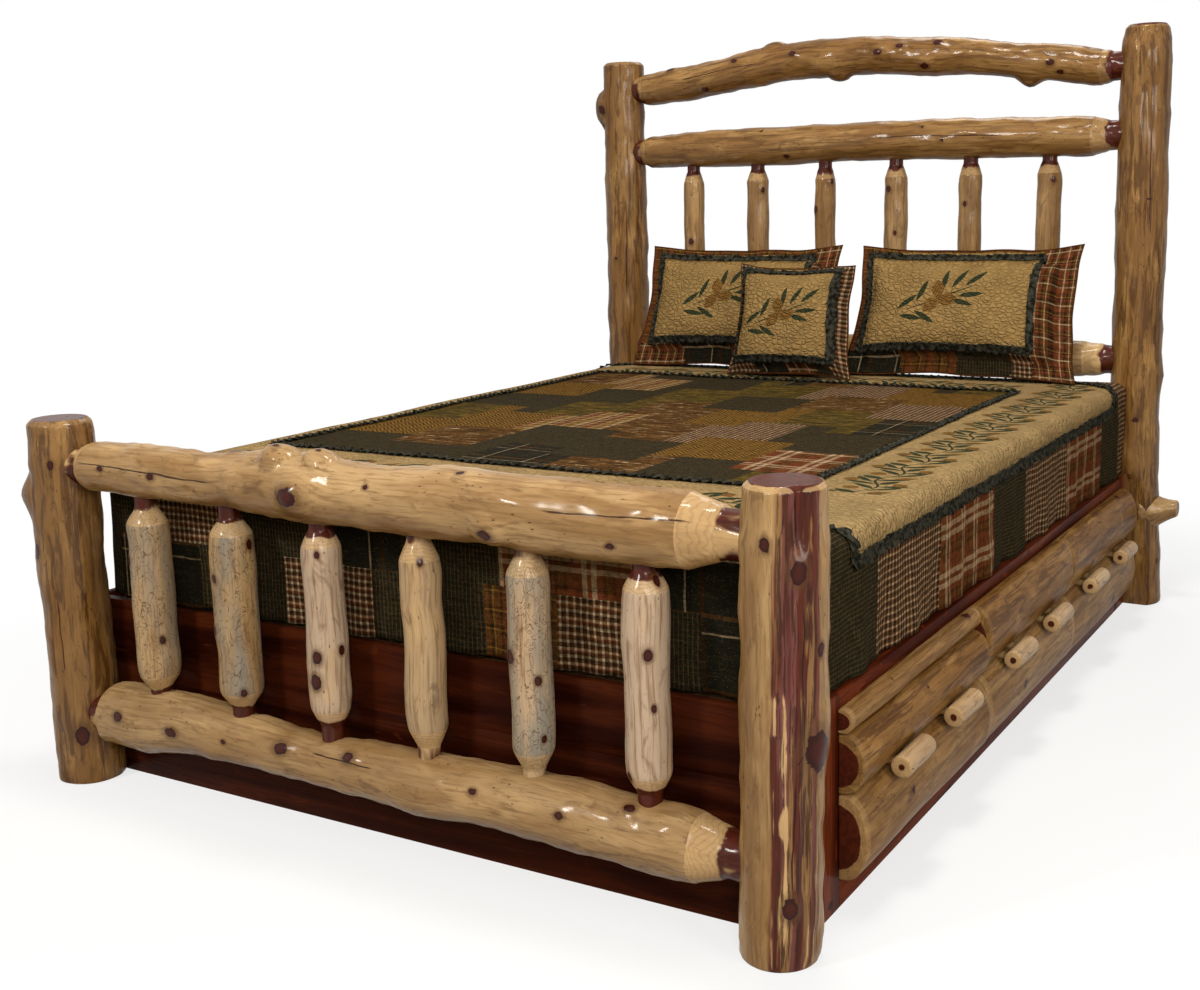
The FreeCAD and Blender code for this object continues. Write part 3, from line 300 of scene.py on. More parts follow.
class LogBedSizes(bpy.types.PropertyGroup):
    """Sizes of the surface detail."""
    peel_depth: length_property("Peel depth", "Height of the flats that the drawknife left", 0.0032, 0, 0.01)
    log_swell: length_property("Log swell", "Height of the slow swells along a log", 0.0105, 0, 0.02)
    board_edge: length_property(
        "Board edge", "Width of the eased edges of the case boards", 0.0016, 0.0002, 0.006)
    slab_rim: length_property(
        "Slab rim", "Width of the rounded rim on the ends of the drawer slabs", 0.008, 0.001, 0.02)
    quilt_folds: length_property("Quilt folds", "Depth of the folds in the hanging quilt", 0.0085, 0, 0.03)
    ruffle_width: length_property(
        "Ruffle width", "Width of the ruffles sewn on the quilt and the pillows", 0.029, 0.005, 0.04)


def colour_property(name, description, default):
    """One colour that a user can change."""
    return bpy.props.FloatVectorProperty(
        name=name, description=description, subtype="COLOR", size=3, min=0, max=1, default=default)


class LogBedColours(bpy.types.PropertyGroup):
    """Colours of the wood and the cloth."""
    sapwood: colour_property("Sapwood", "Pale outer wood", (0.430, 0.285, 0.135))
    cream_wood: colour_property("Cream wood", "Freshly peeled pale logs", (0.500, 0.388, 0.300))
    honey: colour_property("Honey wood", "Warmer bands of the outer wood", (0.245, 0.135, 0.050))
    bark: colour_property("Inner bark", "Brown streaks left by peeling", (0.100, 0.047, 0.016))
    heartwood: colour_property("Heartwood", "Red inner wood", (0.092, 0.0155, 0.0075))
    violet: colour_property("Violet heart", "Purple streaks in the heartwood", (0.135, 0.043, 0.040))
    knot: colour_property("Knot", "Dark middle of a knot", (0.026, 0.006, 0.0035))
    grey: colour_property("Grey stain", "Weathered stain on some spindles", (0.205, 0.200, 0.172))
    cedar: colour_property("Cedar", "Boards of the drawer case", (0.046, 0.0068, 0.0022))
    cedar_light: colour_property("Light cedar", "Light grain of the case boards", (0.165, 0.034, 0.0105))
    board: colour_property("Plain board", "Unfinished boards inside", (0.560, 0.385, 0.215))
    green: colour_property("Green cloth", "Darkest patches and the ruffles", (0.016, 0.017, 0.011))
    brown: colour_property("Brown cloth", "Brown patches", (0.098, 0.038, 0.0090))
    rust: colour_property("Rust cloth", "Red-brown plaid and piping", (0.140, 0.034, 0.0125))
    gold: colour_property("Gold cloth", "Gold-brown patches", (0.205, 0.112, 0.022))
    cream: colour_property("Cream thread", "Light threads of the plaids", (0.420, 0.310, 0.185))
    tan: colour_property("Tan cloth", "Quilted borders and pillow faces", (0.400, 0.280, 0.130))
    leaf: colour_property("Leaf print", "Leaves of the printed sprays", (0.024, 0.029, 0.014))
    berry: colour_property("Berry print", "Berries of the printed sprays", (0.125, 0.064, 0.017))


class LogBedStage(bpy.types.PropertyGroup):
    """Floor, light and camera."""
    floor_size: length_property("Floor size", "Side of the floor", 60, 4, 1000)
    key_power: bpy.props.FloatProperty(
        name="Key light", description="Power of the main lamp in watts", default=128, min=0)
    lens: bpy.props.FloatProperty(
        name="Lens", description="Focal length on a 36 mm sensor", default=44.48, min=10)


# Small helpers around the modelling operators
def settings():
    """The sizes, colours and stage settings of the scene."""
    scene = bpy.context.scene
    return scene.log_bed_sizes, scene.log_bed_colours, scene.log_bed_stage


def clear_choice():
    """Leave edit mode and deselect everything."""
    if bpy.context.object and bpy.context.object.mode != "OBJECT":
        end_edit()
    bpy.ops.object.select_all(action="DESELECT")


def choose(thing):
    """Make one object the only chosen and active one."""
    clear_choice()
    thing.select_set(True)
    bpy.context.view_layer.objects.active = thing


def apply_modifier(thing, kind, **values):
    """Add one modifier and apply it."""
    choose(thing)
    modifier = thing.modifiers.new(kind.title(), kind)
    for name, value in values.items():
        setattr(modifier, name, value)
    bpy.ops.object.modifier_apply(modifier=modifier.name)


def smoothed(thing, levels):
    """Subdivide a cage into its smooth surface."""
    apply_modifier(thing, "SUBSURF", levels=levels, render_levels=levels)


def join_all(things, name):
    """Join several objects into one."""
    clear_choice()
    for thing in things:
        thing.select_set(True)
    bpy.context.view_layer.objects.active = things[0]
    if len(things) > 1:
        bpy.ops.object.join()
    things[0].name = name
    return things[0]


def start_edit():
    """Enter edit mode."""
    bpy.ops.object.mode_set(mode="EDIT")


def end_edit():
    """Return to object mode."""
    bpy.ops.object.mode_set(mode="OBJECT")


def drop_choice():
    """Deselect every part of the active mesh."""
    start_edit()
    bpy.ops.mesh.select_all(action="DESELECT")
    end_edit()


def pick_edges(thing, wanted):
    """Choose the edges whose two ends pass a test, and enter edit mode."""
    drop_choice()
    for edge in thing.data.edges:
        first, second = (thing.data.vertices[index].co for index in edge.vertices)
        edge.select = wanted(first, second)
    start_edit()


def slice_lengths(length, count):
    """In edit mode, cut a mesh that lies along Y into equal lengths."""
    for step in range(1, count):
        bpy.ops.mesh.select_all(action="SELECT")
        bpy.ops.mesh.bisect(
            plane_co=(0, -length / 2 + length * step / count, 0), plane_no=(0, 1, 0), use_fill=False)


def outward(thing):
    """Point every face of a closed mesh outwards."""
    choose(thing)
    start_edit()
    bpy.ops.mesh.select_all(action="SELECT")
    bpy.ops.mesh.normals_make_consistent(inside=False)
    end_edit()


def settle(thing):
    """Put the object's own place into its mesh, so that it sits at the origin."""
    choose(thing)
    bpy.ops.object.transform_apply(location=True, rotation=True, scale=True)
    return thing


def dress(thing, body, materials, replaced=(), angle=None):
    """Finish a piece: shading, materials, the body it rides on and the nodes it stands for."""
    choose(thing)
    if angle is None:
        bpy.ops.object.shade_smooth()
    else:
        bpy.ops.object.shade_smooth_by_angle(angle=math.radians(angle))
    for material in materials:
        thing.data.materials.append(material)
    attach(thing, body)
    if replaced:
        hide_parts(*replaced)
    return thing


def points_of(thing):
    """All vertices of a mesh as an array."""
    points = np.empty(len(thing.data.vertices) * 3, np.float32)
    thing.data.vertices.foreach_get("co", points)
    return points.reshape(-1, 3).astype(float)


def move_points(thing, points):
    """Write an array of vertices back to a mesh."""
    thing.data.vertices.foreach_set("co", np.asarray(points, np.float32).ravel())
    thing.data.update()


def note_vector(thing, name, values):
    """Keep one vector for each vertex under a name that a material can read."""
    layer = thing.data.attributes.new(name, "FLOAT_VECTOR", "POINT")
    layer.data.foreach_set("vector", np.asarray(values, np.float32).ravel())


def note_colour(thing, name, values):
    """Keep four numbers for the whole mesh under a name that a material can read."""
    count = len(thing.data.vertices)
    layer = thing.data.attributes.new(name, "FLOAT_COLOR", "POINT")
    layer.data.foreach_set("color", np.tile(np.asarray(values, np.float32), count))


def note_number(thing, name, values):
    """Keep one number for each vertex under a name that a material can read."""
    layer = thing.data.attributes.new(name, "FLOAT", "POINT")
    layer.data.foreach_set("value", np.asarray(values, np.float32))


# Materials
def scaled(colour, factor):
    """A colour made lighter or darker."""
    return tuple(min(1.0, factor * part) for part in colour)


class Finish:
    """A procedural material, built node by node."""

    def __init__(self, name, roughness=0.5, **values):
        self.material = bpy.data.materials.new(name)
        self.material.use_nodes = True
        self.tree = self.material.node_tree
        self.shader = self.tree.nodes["Principled BSDF"]
        self.shader.inputs["Roughness"].default_value = roughness
        for key, value in values.items():
            self.shader.inputs[key.replace("_", " ")].default_value = value

    def wire(self, socket, value):
        """Link a socket, or set its own value."""
        if isinstance(value, bpy.types.NodeSocket):
            self.tree.links.new(value, socket)
            return
        old = socket.default_value
        missing = isinstance(old, bpy.types.bpy_prop_array) and len(value) < len(old)
        socket.default_value = (*value, 1) if missing else value

    def add(self, kind, inputs, output=0, **values):
        """Add one node and return one of its outputs."""
        node = self.tree.nodes.new("ShaderNode" + kind)
        for name, value in values.items():
            setattr(node, name, value)
        for key, value in inputs.items():
            self.wire(node.inputs[key], value)
        return node.outputs[output]

    def math(self, operation, first, second=0.0):
        """A number worked out from one or two others."""
        return self.add("Math", {0: first, 1: second}, operation=operation)

    def times(self, first, second):
        """One number times another."""
        return self.math("MULTIPLY", first, second)

    def plus(self, first, second):
        """One number and another."""
        return self.math("ADD", first, second)

    def minus(self, first, second):
        """One number less another."""
        return self.math("SUBTRACT", first, second)

    def vector(self, operation, first, second=(0, 0, 0)):
        """A vector worked out from others, or a length."""
        output = "Value" if operation in ("LENGTH", "DOT_PRODUCT") else "Vector"
        inputs = {0: first, 3 if operation == "SCALE" else 1: second}
        return self.add("VectorMath", inputs, output, operation=operation)

    def stretch(self, vector, factors):
        """A place stretched along each axis."""
        return self.vector("MULTIPLY", vector, factors)

    def wander(self, place, scale, detail, most):
        """A small shift in every direction that changes slowly from place to place."""
        wobble = self.add("TexNoise", {"Vector": place, "Scale": scale, "Detail": detail}, "Color")
        return self.vector("SCALE", self.vector("SUBTRACT", wobble, (0.5, 0.5, 0.5)), most)

    def read(self, attribute, output="Vector"):
        """An attribute of the mesh."""
        return self.add("Attribute", {}, output, attribute_name=attribute)

    def place(self):
        """Place in the frame of the bed."""
        return self.add("TexCoord", {}, "Object")

    def flat(self):
        """Place on the flat cloth, in metres."""
        return self.add("UVMap", {}, "UV", uv_map="cloth")

    def split(self, vector):
        """The three parts of a vector."""
        node = self.tree.nodes.new("ShaderNodeSeparateXYZ")
        self.tree.links.new(vector, node.inputs[0])
        return node.outputs[0], node.outputs[1], node.outputs[2]

    def build(self, first, second=0.0, third=0.0):
        """A vector from three parts."""
        return self.add("CombineXYZ", {0: first, 1: second, 2: third})

    def noise(self, place, scale, detail=3.0, roughness=0.5, distortion=0.0):
        """Soft noise from 0 to 1."""
        return self.add("TexNoise", {
            "Vector": place, "Scale": scale, "Detail": detail, "Roughness": roughness,
            "Distortion": distortion,
        }, "Fac")

    def cells(self, place, scale, feature="F1"):
        """Distance to the middle or to the edge of a cell."""
        return self.add("TexVoronoi", {"Vector": place, "Scale": scale}, "Distance", feature=feature)

    def ease(self, value, low, high):
        """0 below low, 1 above high and smooth between."""
        return self.add("MapRange", {
            "Value": value, "From Min": low, "From Max": high, "To Min": 0.0, "To Max": 1.0,
        }, 0, interpolation_type="SMOOTHSTEP")

    def part(self, value, low, high, most):
        """0 below low, the most above high and smooth between."""
        return self.times(self.ease(value, low, high), most)

    def swing(self, value, most):
        """A number from 0 to 1 as a swing to both sides of zero."""
        return self.times(self.minus(value, 0.5), most)

    def mix(self, share, first, second, blend="MIX"):
        """One colour laid over another."""
        return self.add("Mix", {0: share, 6: first, 7: second}, 2, data_type="RGBA", blend_type=blend)

    def bands(self, value, stops):
        """Hard bands of colour along a value from 0 to 1."""
        node = self.tree.nodes.new("ShaderNodeValToRGB")
        node.color_ramp.interpolation = "CONSTANT"
        elements = node.color_ramp.elements
        while len(elements) < len(stops):
            elements.new(1.0)
        for element, (position, colour) in zip(elements, stops):
            element.position = position
            element.color = (*colour[:3], 1)
        self.wire(node.inputs[0], value)
        return node.outputs[0]

    def done(self, colour, height=None, depth=0.001, roughness=None):
        """Wire the colour, the relief and the roughness to the shader."""
        self.wire(self.shader.inputs["Base Color"], colour)
        if height is not None:
            bump = self.add("Bump", {"Strength": 1.0, "Distance": depth, "Height": height}, "Normal")
            self.wire(self.shader.inputs["Normal"], bump)
        if roughness is not None:
            self.wire(self.shader.inputs["Roughness"], roughness)
        return self.material


def known(name, maker):
    """A material made once and then shared."""
    return bpy.data.materials.get(name) or maker(name)


def log_finish(name, coat=0.30):
    """Peeled and varnished log: grain along the log, knots, specks, splits, a red heart, and painted shade on
    the warmer logs.
    """
    colours = settings()[1]
    finish = Finish(name, Coat_Weight=coat, Coat_Roughness=0.15, Specular_IOR_Level=0.02)
    heart_radius, warmth_and_shade, streaks = finish.split(finish.read("log_tone", "Color"))
    grey = finish.read("log_tone", "Alpha")
    place = finish.read("log_place")
    local = finish.vector("ADD", place, finish.read("log_seed"))
    along = finish.stretch(local, (1.0, 1.0, 0.05))
    longer = finish.stretch(local, (1.0, 1.0, 0.16))
    shorter = finish.stretch(local, (1.0, 1.0, 0.38))
    strand = finish.stretch(local, (1.0, 1.0, 0.024))
    knot_wobble = finish.noise(finish.vector("SCALE", local, 90.0), 1.0, 3.0)
    knot_distance = finish.vector("LENGTH", finish.read("knot_place"))
    knot_distance = finish.plus(knot_distance, finish.swing(knot_wobble, 0.65))
    slow = finish.noise(longer, 14.0, 4.0, 0.6, 0.6)
    fine = finish.noise(along, 190.0, 4.0, 0.6, 0.1)
    patch = finish.noise(shorter, 34.0, 4.0, 0.6, 1.2)
    swirl = finish.part(knot_distance, KNOT_REACH, 1.0, finish.math("SINE", finish.times(knot_distance, 7.0)))
    flow = finish.plus(fine, finish.times(swirl, 0.10))
    # Outer wood: from cream to honey, with pale bands and brown strokes; warmer logs lean to honey, partly as
    # painted shade
    honey_share = finish.ease(finish.plus(slow, finish.swing(warmth_and_shade, 0.40)), 0.34, 0.76)
    wood = finish.mix(honey_share, colours.sapwood, colours.honey)
    wood = finish.mix(finish.part(warmth_and_shade, 0.48, 0.20, 0.80), wood, colours.cream_wood)
    pale = scaled(colours.sapwood, 1.30)
    wood = finish.mix(finish.part(finish.noise(shorter, 21.0, 3.0), 0.52, 0.68, 0.45), wood, pale)
    brown_honey = finish.mix(0.40, colours.honey, colours.bark)
    wood = finish.mix(finish.part(flow, 0.46, 0.68, 0.68), wood, brown_honey)
    wood = finish.mix(finish.part(patch, 0.54, 0.70, 0.55), wood, colours.bark)
    ripe_and_shaded = finish.ease(warmth_and_shade, 0.60, 1.0)
    dark_grain = finish.noise(finish.stretch(local, (1.0, 1.0, 0.09)), 62.0, 5.0, 0.65, 0.8)
    wood = finish.mix(finish.times(finish.part(dark_grain, 0.49, 0.60, 0.84), ripe_and_shaded), wood, colours.bark)
    strokes = finish.noise(finish.stretch(local, (1.0, 1.0, 0.055)), 44.0, 6.0, 0.72, 0.6)
    stroke_wood = finish.mix(0.45, colours.bark, colours.knot)
    wood = finish.mix(finish.times(finish.part(strokes, 0.565, 0.625, 0.72), ripe_and_shaded), wood, stroke_wood)
    # Warmer logs are multiplied darker and browner: partly their own deeper tone, partly painted shade on the
    # logs that stand further from the lamps
    wood = finish.mix(finish.times(ripe_and_shaded, 0.90), wood, (0.75, 0.63, 0.40), "MULTIPLY")
    dots = finish.cells(finish.stretch(local, (1.0, 1.0, 0.42)), 105.0)
    specks = finish.part(dots, 0.17, 0.09, finish.ease(finish.noise(shorter, 26.0, 2.0), 0.44, 0.62))
    wood = finish.mix(finish.times(specks, 0.75), wood, colours.knot)
    # Weathered spindles: a grey stain and the curling tracks of beetles
    grey_share = finish.times(grey, finish.part(finish.noise(longer, 24.0, 4.0), 0.36, 0.62, 0.80))
    wood = finish.mix(grey_share, wood, colours.grey)
    track = finish.noise(finish.stretch(local, (1.0, 1.0, 0.70)), 62.0, 1.5, 0.5, 1.2)
    track = finish.math("ABSOLUTE", finish.minus(track, 0.5))
    tracks = finish.times(finish.part(track, 0.014, 0.004, 0.70), finish.ease(grey, 0.25, 0.55))
    wood = finish.mix(tracks, wood, colours.bark)
    # The worn side of one post, where the heart shows in streaks
    x, y, _ = finish.split(place)
    radius = finish.math("SQRT", finish.plus(finish.times(x, x), finish.times(y, y)))
    facing = finish.math("DIVIDE", finish.vector("DOT_PRODUCT", place, (0.643, -0.766, 0.0)), radius)
    ragged_side = finish.swing(finish.noise(strand, 48.0, 3.0), 0.62)
    zone = finish.times(streaks, finish.ease(finish.plus(facing, ragged_side), 0.78, 0.86))
    second = finish.vector("ADD", strand, (3.0, 1.0, 0.4))
    third = finish.vector("ADD", strand, (7.0, 5.0, 0.8))
    deep = scaled(colours.heartwood, 0.62)
    red = finish.mix(finish.ease(finish.noise(strand, 90.0, 3.0), 0.42, 0.60), colours.heartwood, deep)
    striped = finish.mix(finish.ease(finish.noise(third, 70.0, 2.0), 0.46, 0.58), red, colours.violet)
    for streak, low, high, most, colour in (
        (finish.noise(second, 46.0, 3.0, 0.55), 0.52, 0.58, 0.90, colours.honey),
        (finish.noise(third, 66.0, 3.0), 0.60, 0.66, 0.85, pale),
        (finish.noise(strand, 150.0, 4.0, 0.65), 0.50, 0.60, 0.85, colours.knot),
    ):
        striped = finish.mix(finish.part(streak, low, high, most), striped, colour)
    wood = finish.mix(finish.times(zone, 0.97), wood, striped)
    # The heart, which shows on sawn ends and thin tenons
    ragged = finish.swing(finish.noise(longer, 40.0, 3.0), 0.008)
    rim = 0.0010
    heart = finish.ease(
        finish.plus(radius, ragged), finish.plus(heart_radius, rim), finish.minus(heart_radius, rim))
    rings = finish.plus(radius, finish.times(finish.noise(longer, 30.0, 2.0), 0.012))
    rings = finish.math("SINE", finish.times(rings, 2300.0))
    cut_face = finish.ease(finish.read("log_cut", "Fac"), 0.35, 0.65)
    cut_share = finish.minus(0.55, finish.times(ripe_and_shaded, 0.45))
    cut_wood = finish.mix(finish.times(cut_face, cut_share), wood, pale)
    wood = finish.mix(heart, cut_wood, finish.mix(finish.times(cut_face, 0.30), red, colours.knot))
    wood = finish.mix(finish.times(cut_face, finish.part(rings, 0.2, 1.0, 0.20)), wood, colours.bark)
    # Knots
    wood = finish.mix(finish.part(knot_distance, 2.1, 1.0, 0.55), wood, colours.bark)
    middle = finish.ease(knot_distance, 1.02, 0.92)
    core = finish.mix(finish.part(knot_distance, 0.90, 0.35, 0.40), colours.knot, colours.heartwood)
    wood = finish.mix(middle, wood, core)
    # Drying splits
    share, offset, _ = finish.split(finish.read("split_place"))
    waver = finish.swing(finish.noise(longer, 70.0, 3.0), 0.010)
    gap = finish.ease(finish.math("ABSOLUTE", finish.plus(offset, waver)), 0.0017, 0.0006)
    gap = finish.times(gap, finish.part(share, 0.0, 0.10, finish.ease(share, 1.0, 0.90)))
    wood = finish.mix(finish.times(gap, 0.92), wood, colours.knot)
    height = finish.plus(finish.times(fine, 0.30), finish.times(patch, 0.70))
    height = finish.minus(height, finish.plus(finish.times(middle, 0.45), gap))
    height = finish.minus(height, finish.plus(finish.times(specks, 0.4), finish.times(tracks, 0.8)))
    gloss = finish.plus(0.30, finish.times(slow, 0.25))
    return finish.done(wood, height, 0.0014, gloss)


def along_axis(axis, factor):
    """Stretch for a grain that runs along one axis."""
    return [factor if letter == axis else 1.0 for letter in "xyz"]


def cedar_finish(name, axis, light=0.0, shade=1.0):
    """Varnished red cedar board with its grain along one axis, its colours darkened by the shade factor as
    painted shade.
    """
    colours = settings()[1]
    finish = Finish(name, Coat_Weight=0.03, Coat_Roughness=0.18, Specular_IOR_Level=0.01)
    local = finish.stretch(finish.place(), along_axis(axis, 0.07))
    figure = finish.noise(local, 13.0, 3.0, 0.5, 1.4)
    lines = finish.math("SINE", finish.times(figure, 95.0))
    fine = finish.noise(local, 240.0, 3.0, 0.6)
    # Painted shade: both cedar colours are scaled darker by the shade factor
    cedar, bright = (scaled(colour, shade) for colour in (colours.cedar, colours.cedar_light))
    wood = finish.mix(finish.ease(figure, 0.36, 0.60), cedar, bright)
    wood = finish.mix(finish.part(lines, 0.1, 1.0, 0.38), wood, colours.knot)
    wood = finish.mix(finish.part(fine, 0.52, 0.70, 0.35), wood, colours.knot)
    flecks = finish.noise(finish.stretch(finish.place(), along_axis(axis, 0.22)), 46.0, 2.0, 0.5, 1.8)
    wood = finish.mix(finish.part(flecks, 0.66, 0.72, 0.40), wood, scaled(bright, 1.6))
    wood = finish.mix(finish.part(finish.noise(local, 5.0, 2.0), 0.56, 0.66, light), wood, colours.honey)
    knots = finish.cells(finish.stretch(finish.place(), (1.0, 1.0, 1.6)), 5.5)
    wood = finish.mix(finish.part(knots, 0.085, 0.055, 0.9), wood, colours.knot)
    gloss = finish.plus(0.30, finish.times(fine, 0.2))
    return finish.done(wood, finish.plus(fine, finish.times(lines, 0.25)), 0.0005, gloss)


def board_finish(name, axis):
    """Plain sanded board with its grain along one axis."""
    colours = settings()[1]
    finish = Finish(name)
    local = finish.stretch(finish.place(), along_axis(axis, 0.06))
    figure = finish.noise(local, 18.0, 4.0, 0.55, 0.8)
    fine = finish.noise(local, 260.0, 3.0, 0.6)
    wood = finish.mix(finish.ease(figure, 0.35, 0.70), colours.board, colours.honey)
    wood = finish.mix(finish.part(fine, 0.50, 0.70, 0.35), wood, colours.bark)
    return finish.done(wood, fine, 0.0004, finish.plus(0.45, finish.times(fine, 0.2)))


def steel_finish(name):
    """Zinc plated steel."""
    finish = Finish(name, Metallic=1.0)
    grain = finish.noise(finish.place(), 400.0, 3.0)
    spangle = finish.cells(finish.place(), 180.0)
    colour = finish.mix(finish.ease(spangle, 0.1, 0.7), (0.42, 0.43, 0.44), (0.60, 0.60, 0.61))
    return finish.done(colour, grain, 0.0002, finish.plus(0.28, finish.times(grain, 0.2)))


def woven(finish, flat, warp_period, warp, weft_period, weft):
    """Two sets of coloured stripes crossed in a weave."""
    x, y, _ = finish.split(flat)
    warp_colour = finish.bands(finish.math("FRACT", finish.math("DIVIDE", x, warp_period)), warp)
    weft_colour = finish.bands(finish.math("FRACT", finish.math("DIVIDE", y, weft_period)), weft)
    twill = finish.math("FRACT", finish.times(finish.plus(x, y), 420.0))
    share = finish.plus(0.32, finish.part(twill, 0.40, 0.60, 0.36))
    return finish.mix(share, warp_colour, weft_colour)


def cloth_finish(name, maker):
    """A quilted cloth: its woven or printed colour, with puckers between the stitches, painted shade in their
    hollows, and painted highlight and shade along crinkled rows.
    """
    finish = Finish(name, roughness=0.92, Specular_IOR_Level=0.015)
    flat = finish.flat()
    moved = finish.vector("ADD", flat, finish.wander(flat, 14.0, 2.0, 0.006))
    coarse = finish.noise(flat, 70.0, 3.0, 0.55, 0.6)
    fine = finish.noise(flat, 294.0, 2.0)
    height = finish.plus(finish.times(coarse, 0.75), finish.times(fine, 0.25))
    colour = maker(finish, moved)
    colours = settings()[1]
    # Painted highlight and shade along crinkled rows: gold on some rows, near black on others
    rows = finish.noise(finish.stretch(moved, (0.13, 1.0, 1.0)), 210.0, 3.0, 0.65)
    colour = finish.mix(finish.part(rows, 0.56, 0.68, 0.12), colour, colours.gold)
    colour = finish.mix(finish.part(rows, 0.46, 0.34, 0.45), colour, (0.008, 0.006, 0.003))
    thread = finish.noise(finish.stretch(moved, (1.0, 1.6, 1.0)), 330.0, 2.0, 0.7)
    colour = finish.mix(finish.part(thread, 0.60, 0.70, 0.22), colour, colours.cream)
    colour = finish.mix(finish.part(thread, 0.42, 0.32, 0.50), colour, (0.008, 0.006, 0.004))
    # Painted shade: the colour darkens where the pucker relief is low
    shaded = finish.mix(finish.part(height, 0.56, 0.36, 0.5), colour, (0.012, 0.008, 0.004))
    return finish.done(shaded, height, 0.0042)


def quilt_cloths():
    """The cloths of the patchwork, by name."""
    colours = settings()[1]
    green, brown, rust, cream, gold = colours.green, colours.brown, colours.rust, colours.cream, colours.gold
    dark = scaled(green, 0.4)
    black = (0.010, 0.008, 0.006)
    deep = scaled(brown, 0.45)

    def green_print(finish, flat):
        mottle = finish.noise(flat, 120.0, 3.0)
        base = finish.mix(finish.ease(mottle, 0.42, 0.66), green, scaled(green, 1.8))
        grid = woven(finish, flat, 0.0080, ((0, dark), (0.55, green), (0.80, gold)),
                     0.0095, ((0, dark), (0.60, green), (0.86, brown)))
        return finish.mix(0.55, base, grid)

    def brown_check(finish, flat):
        ground = woven(finish, flat, 0.0128, ((0, deep), (0.35, rust), (0.70, black)),
                       0.0256, ((0, black), (0.30, deep), (0.55, rust), (0.80, deep)))
        x, y, _ = finish.split(flat)
        across = finish.ease(finish.math("PINGPONG", x, 0.0064), 0.0036, 0.0050)
        along = finish.ease(finish.math("PINGPONG", y, 0.0064), 0.0032, 0.0046)
        lines = finish.times(finish.math("MAXIMUM", across, along), 0.22)
        dots = finish.times(finish.times(across, along), 0.78)
        return finish.mix(finish.plus(lines, dots), ground, cream)

    def red_plaid(finish, flat):
        return woven(finish, flat, 0.092, (
            (0, rust), (0.15, cream), (0.26, rust), (0.35, cream), (0.46, rust), (0.58, deep), (0.65, brown),
            (0.76, deep), (0.83, rust)), 0.084, (
            (0, brown), (0.12, cream), (0.23, brown), (0.33, cream), (0.44, rust), (0.58, deep), (0.66, rust),
            (0.78, deep), (0.85, brown)))

    def small_plaid(finish, flat):
        return woven(finish, flat, 0.054, (
            (0, rust), (0.12, cream), (0.18, rust), (0.34, black), (0.46, brown),
            (0.58, cream), (0.63, brown), (0.76, black), (0.90, rust)), 0.050, (
            (0, brown), (0.14, cream), (0.21, deep), (0.40, rust), (0.52, black),
            (0.60, gold), (0.66, deep), (0.84, rust)))

    def window_plaid(finish, flat):
        return woven(finish, flat, 0.105, (
            (0, green), (0.42, cream), (0.455, dark), (0.55, green), (0.66, deep), (0.74, green)),
            0.120, ((0, dark), (0.38, cream), (0.41, dark), (0.60, brown), (0.66, dark)))

    def gold_zigzag(finish, flat):
        x, y, _ = finish.split(flat)
        fold = finish.math("PINGPONG", x, 0.022)
        rows = finish.math("FRACT", finish.math("DIVIDE", finish.plus(y, fold), 0.013))
        return finish.mix(finish.ease(rows, 0.42, 0.58), gold, deep)

    def brown_stripe(finish, flat):
        return woven(finish, flat, 0.060, (
            (0, brown), (0.22, black), (0.34, gold), (0.40, brown), (0.62, black), (0.70, rust)),
            0.034, ((0, brown), (0.5, deep), (0.7, gold), (0.8, deep)))

    def cream_plaid(finish, flat):
        return woven(finish, flat, 0.075, (
            (0, gold), (0.16, cream), (0.30, brown), (0.44, cream), (0.50, rust), (0.80, cream),
            (0.86, gold)), 0.030, ((0, brown), (0.40, cream), (0.52, gold), (0.80, deep)))

    def streaked(finish, flat, ground, light, dark):
        rows = finish.noise(finish.stretch(flat, (0.10, 1.0, 1.0)), 120.0, 4.0, 0.7)
        breaks = finish.noise(finish.stretch(flat, (1.0, 0.30, 1.0)), 70.0, 2.0)
        colour = finish.mix(finish.ease(rows, 0.40, 0.60), dark, ground)
        return finish.mix(finish.part(rows, 0.55, 0.64, finish.ease(breaks, 0.42, 0.58)), colour, light)

    def moss_streak(finish, flat):
        return streaked(finish, flat, (0.120, 0.078, 0.015), gold, (0.022, 0.017, 0.006))

    def umber_streak(finish, flat):
        return streaked(finish, flat, (0.130, 0.060, 0.014), cream, (0.034, 0.015, 0.005))

    makers = (
        green_print, brown_check, red_plaid, window_plaid, gold_zigzag, brown_stripe, cream_plaid,
        small_plaid, moss_streak, umber_streak,
    )
    return {
        maker.__name__: known(maker.__name__, lambda label, maker=maker: cloth_finish(label, maker))
        for maker in makers
    }


def leaf_shape(finish, flat, middle, angle, length, width):
    """Share of a leaf that lies at one place on the cloth."""
    local = finish.vector("SUBTRACT", flat, (*middle, 0))
    turned = finish.add("VectorRotate", {"Vector": local, "Angle": -angle}, rotation_type="Z_AXIS")
    x, y, _ = finish.split(turned)
    across = finish.math("DIVIDE", finish.math("ABSOLUTE", y), width / 2)
    reach = finish.math("DIVIDE", x, length / 2)
    body = finish.minus(finish.minus(1.0, finish.times(reach, reach)), across)
    return finish.ease(body, 0.02, 0.10)


def stipple(finish, flat):
    """Relief of close curving rows of stitches, from 0 at a stitch to 1."""
    wide = finish.stretch(flat, (1.0, 1.55, 1.0))
    moved = finish.vector("ADD", wide, finish.wander(flat, 42.0, 1.0, 0.018))
    return finish.ease(finish.cells(moved, 58.0, "DISTANCE_TO_EDGE"), 0.0, 0.24)


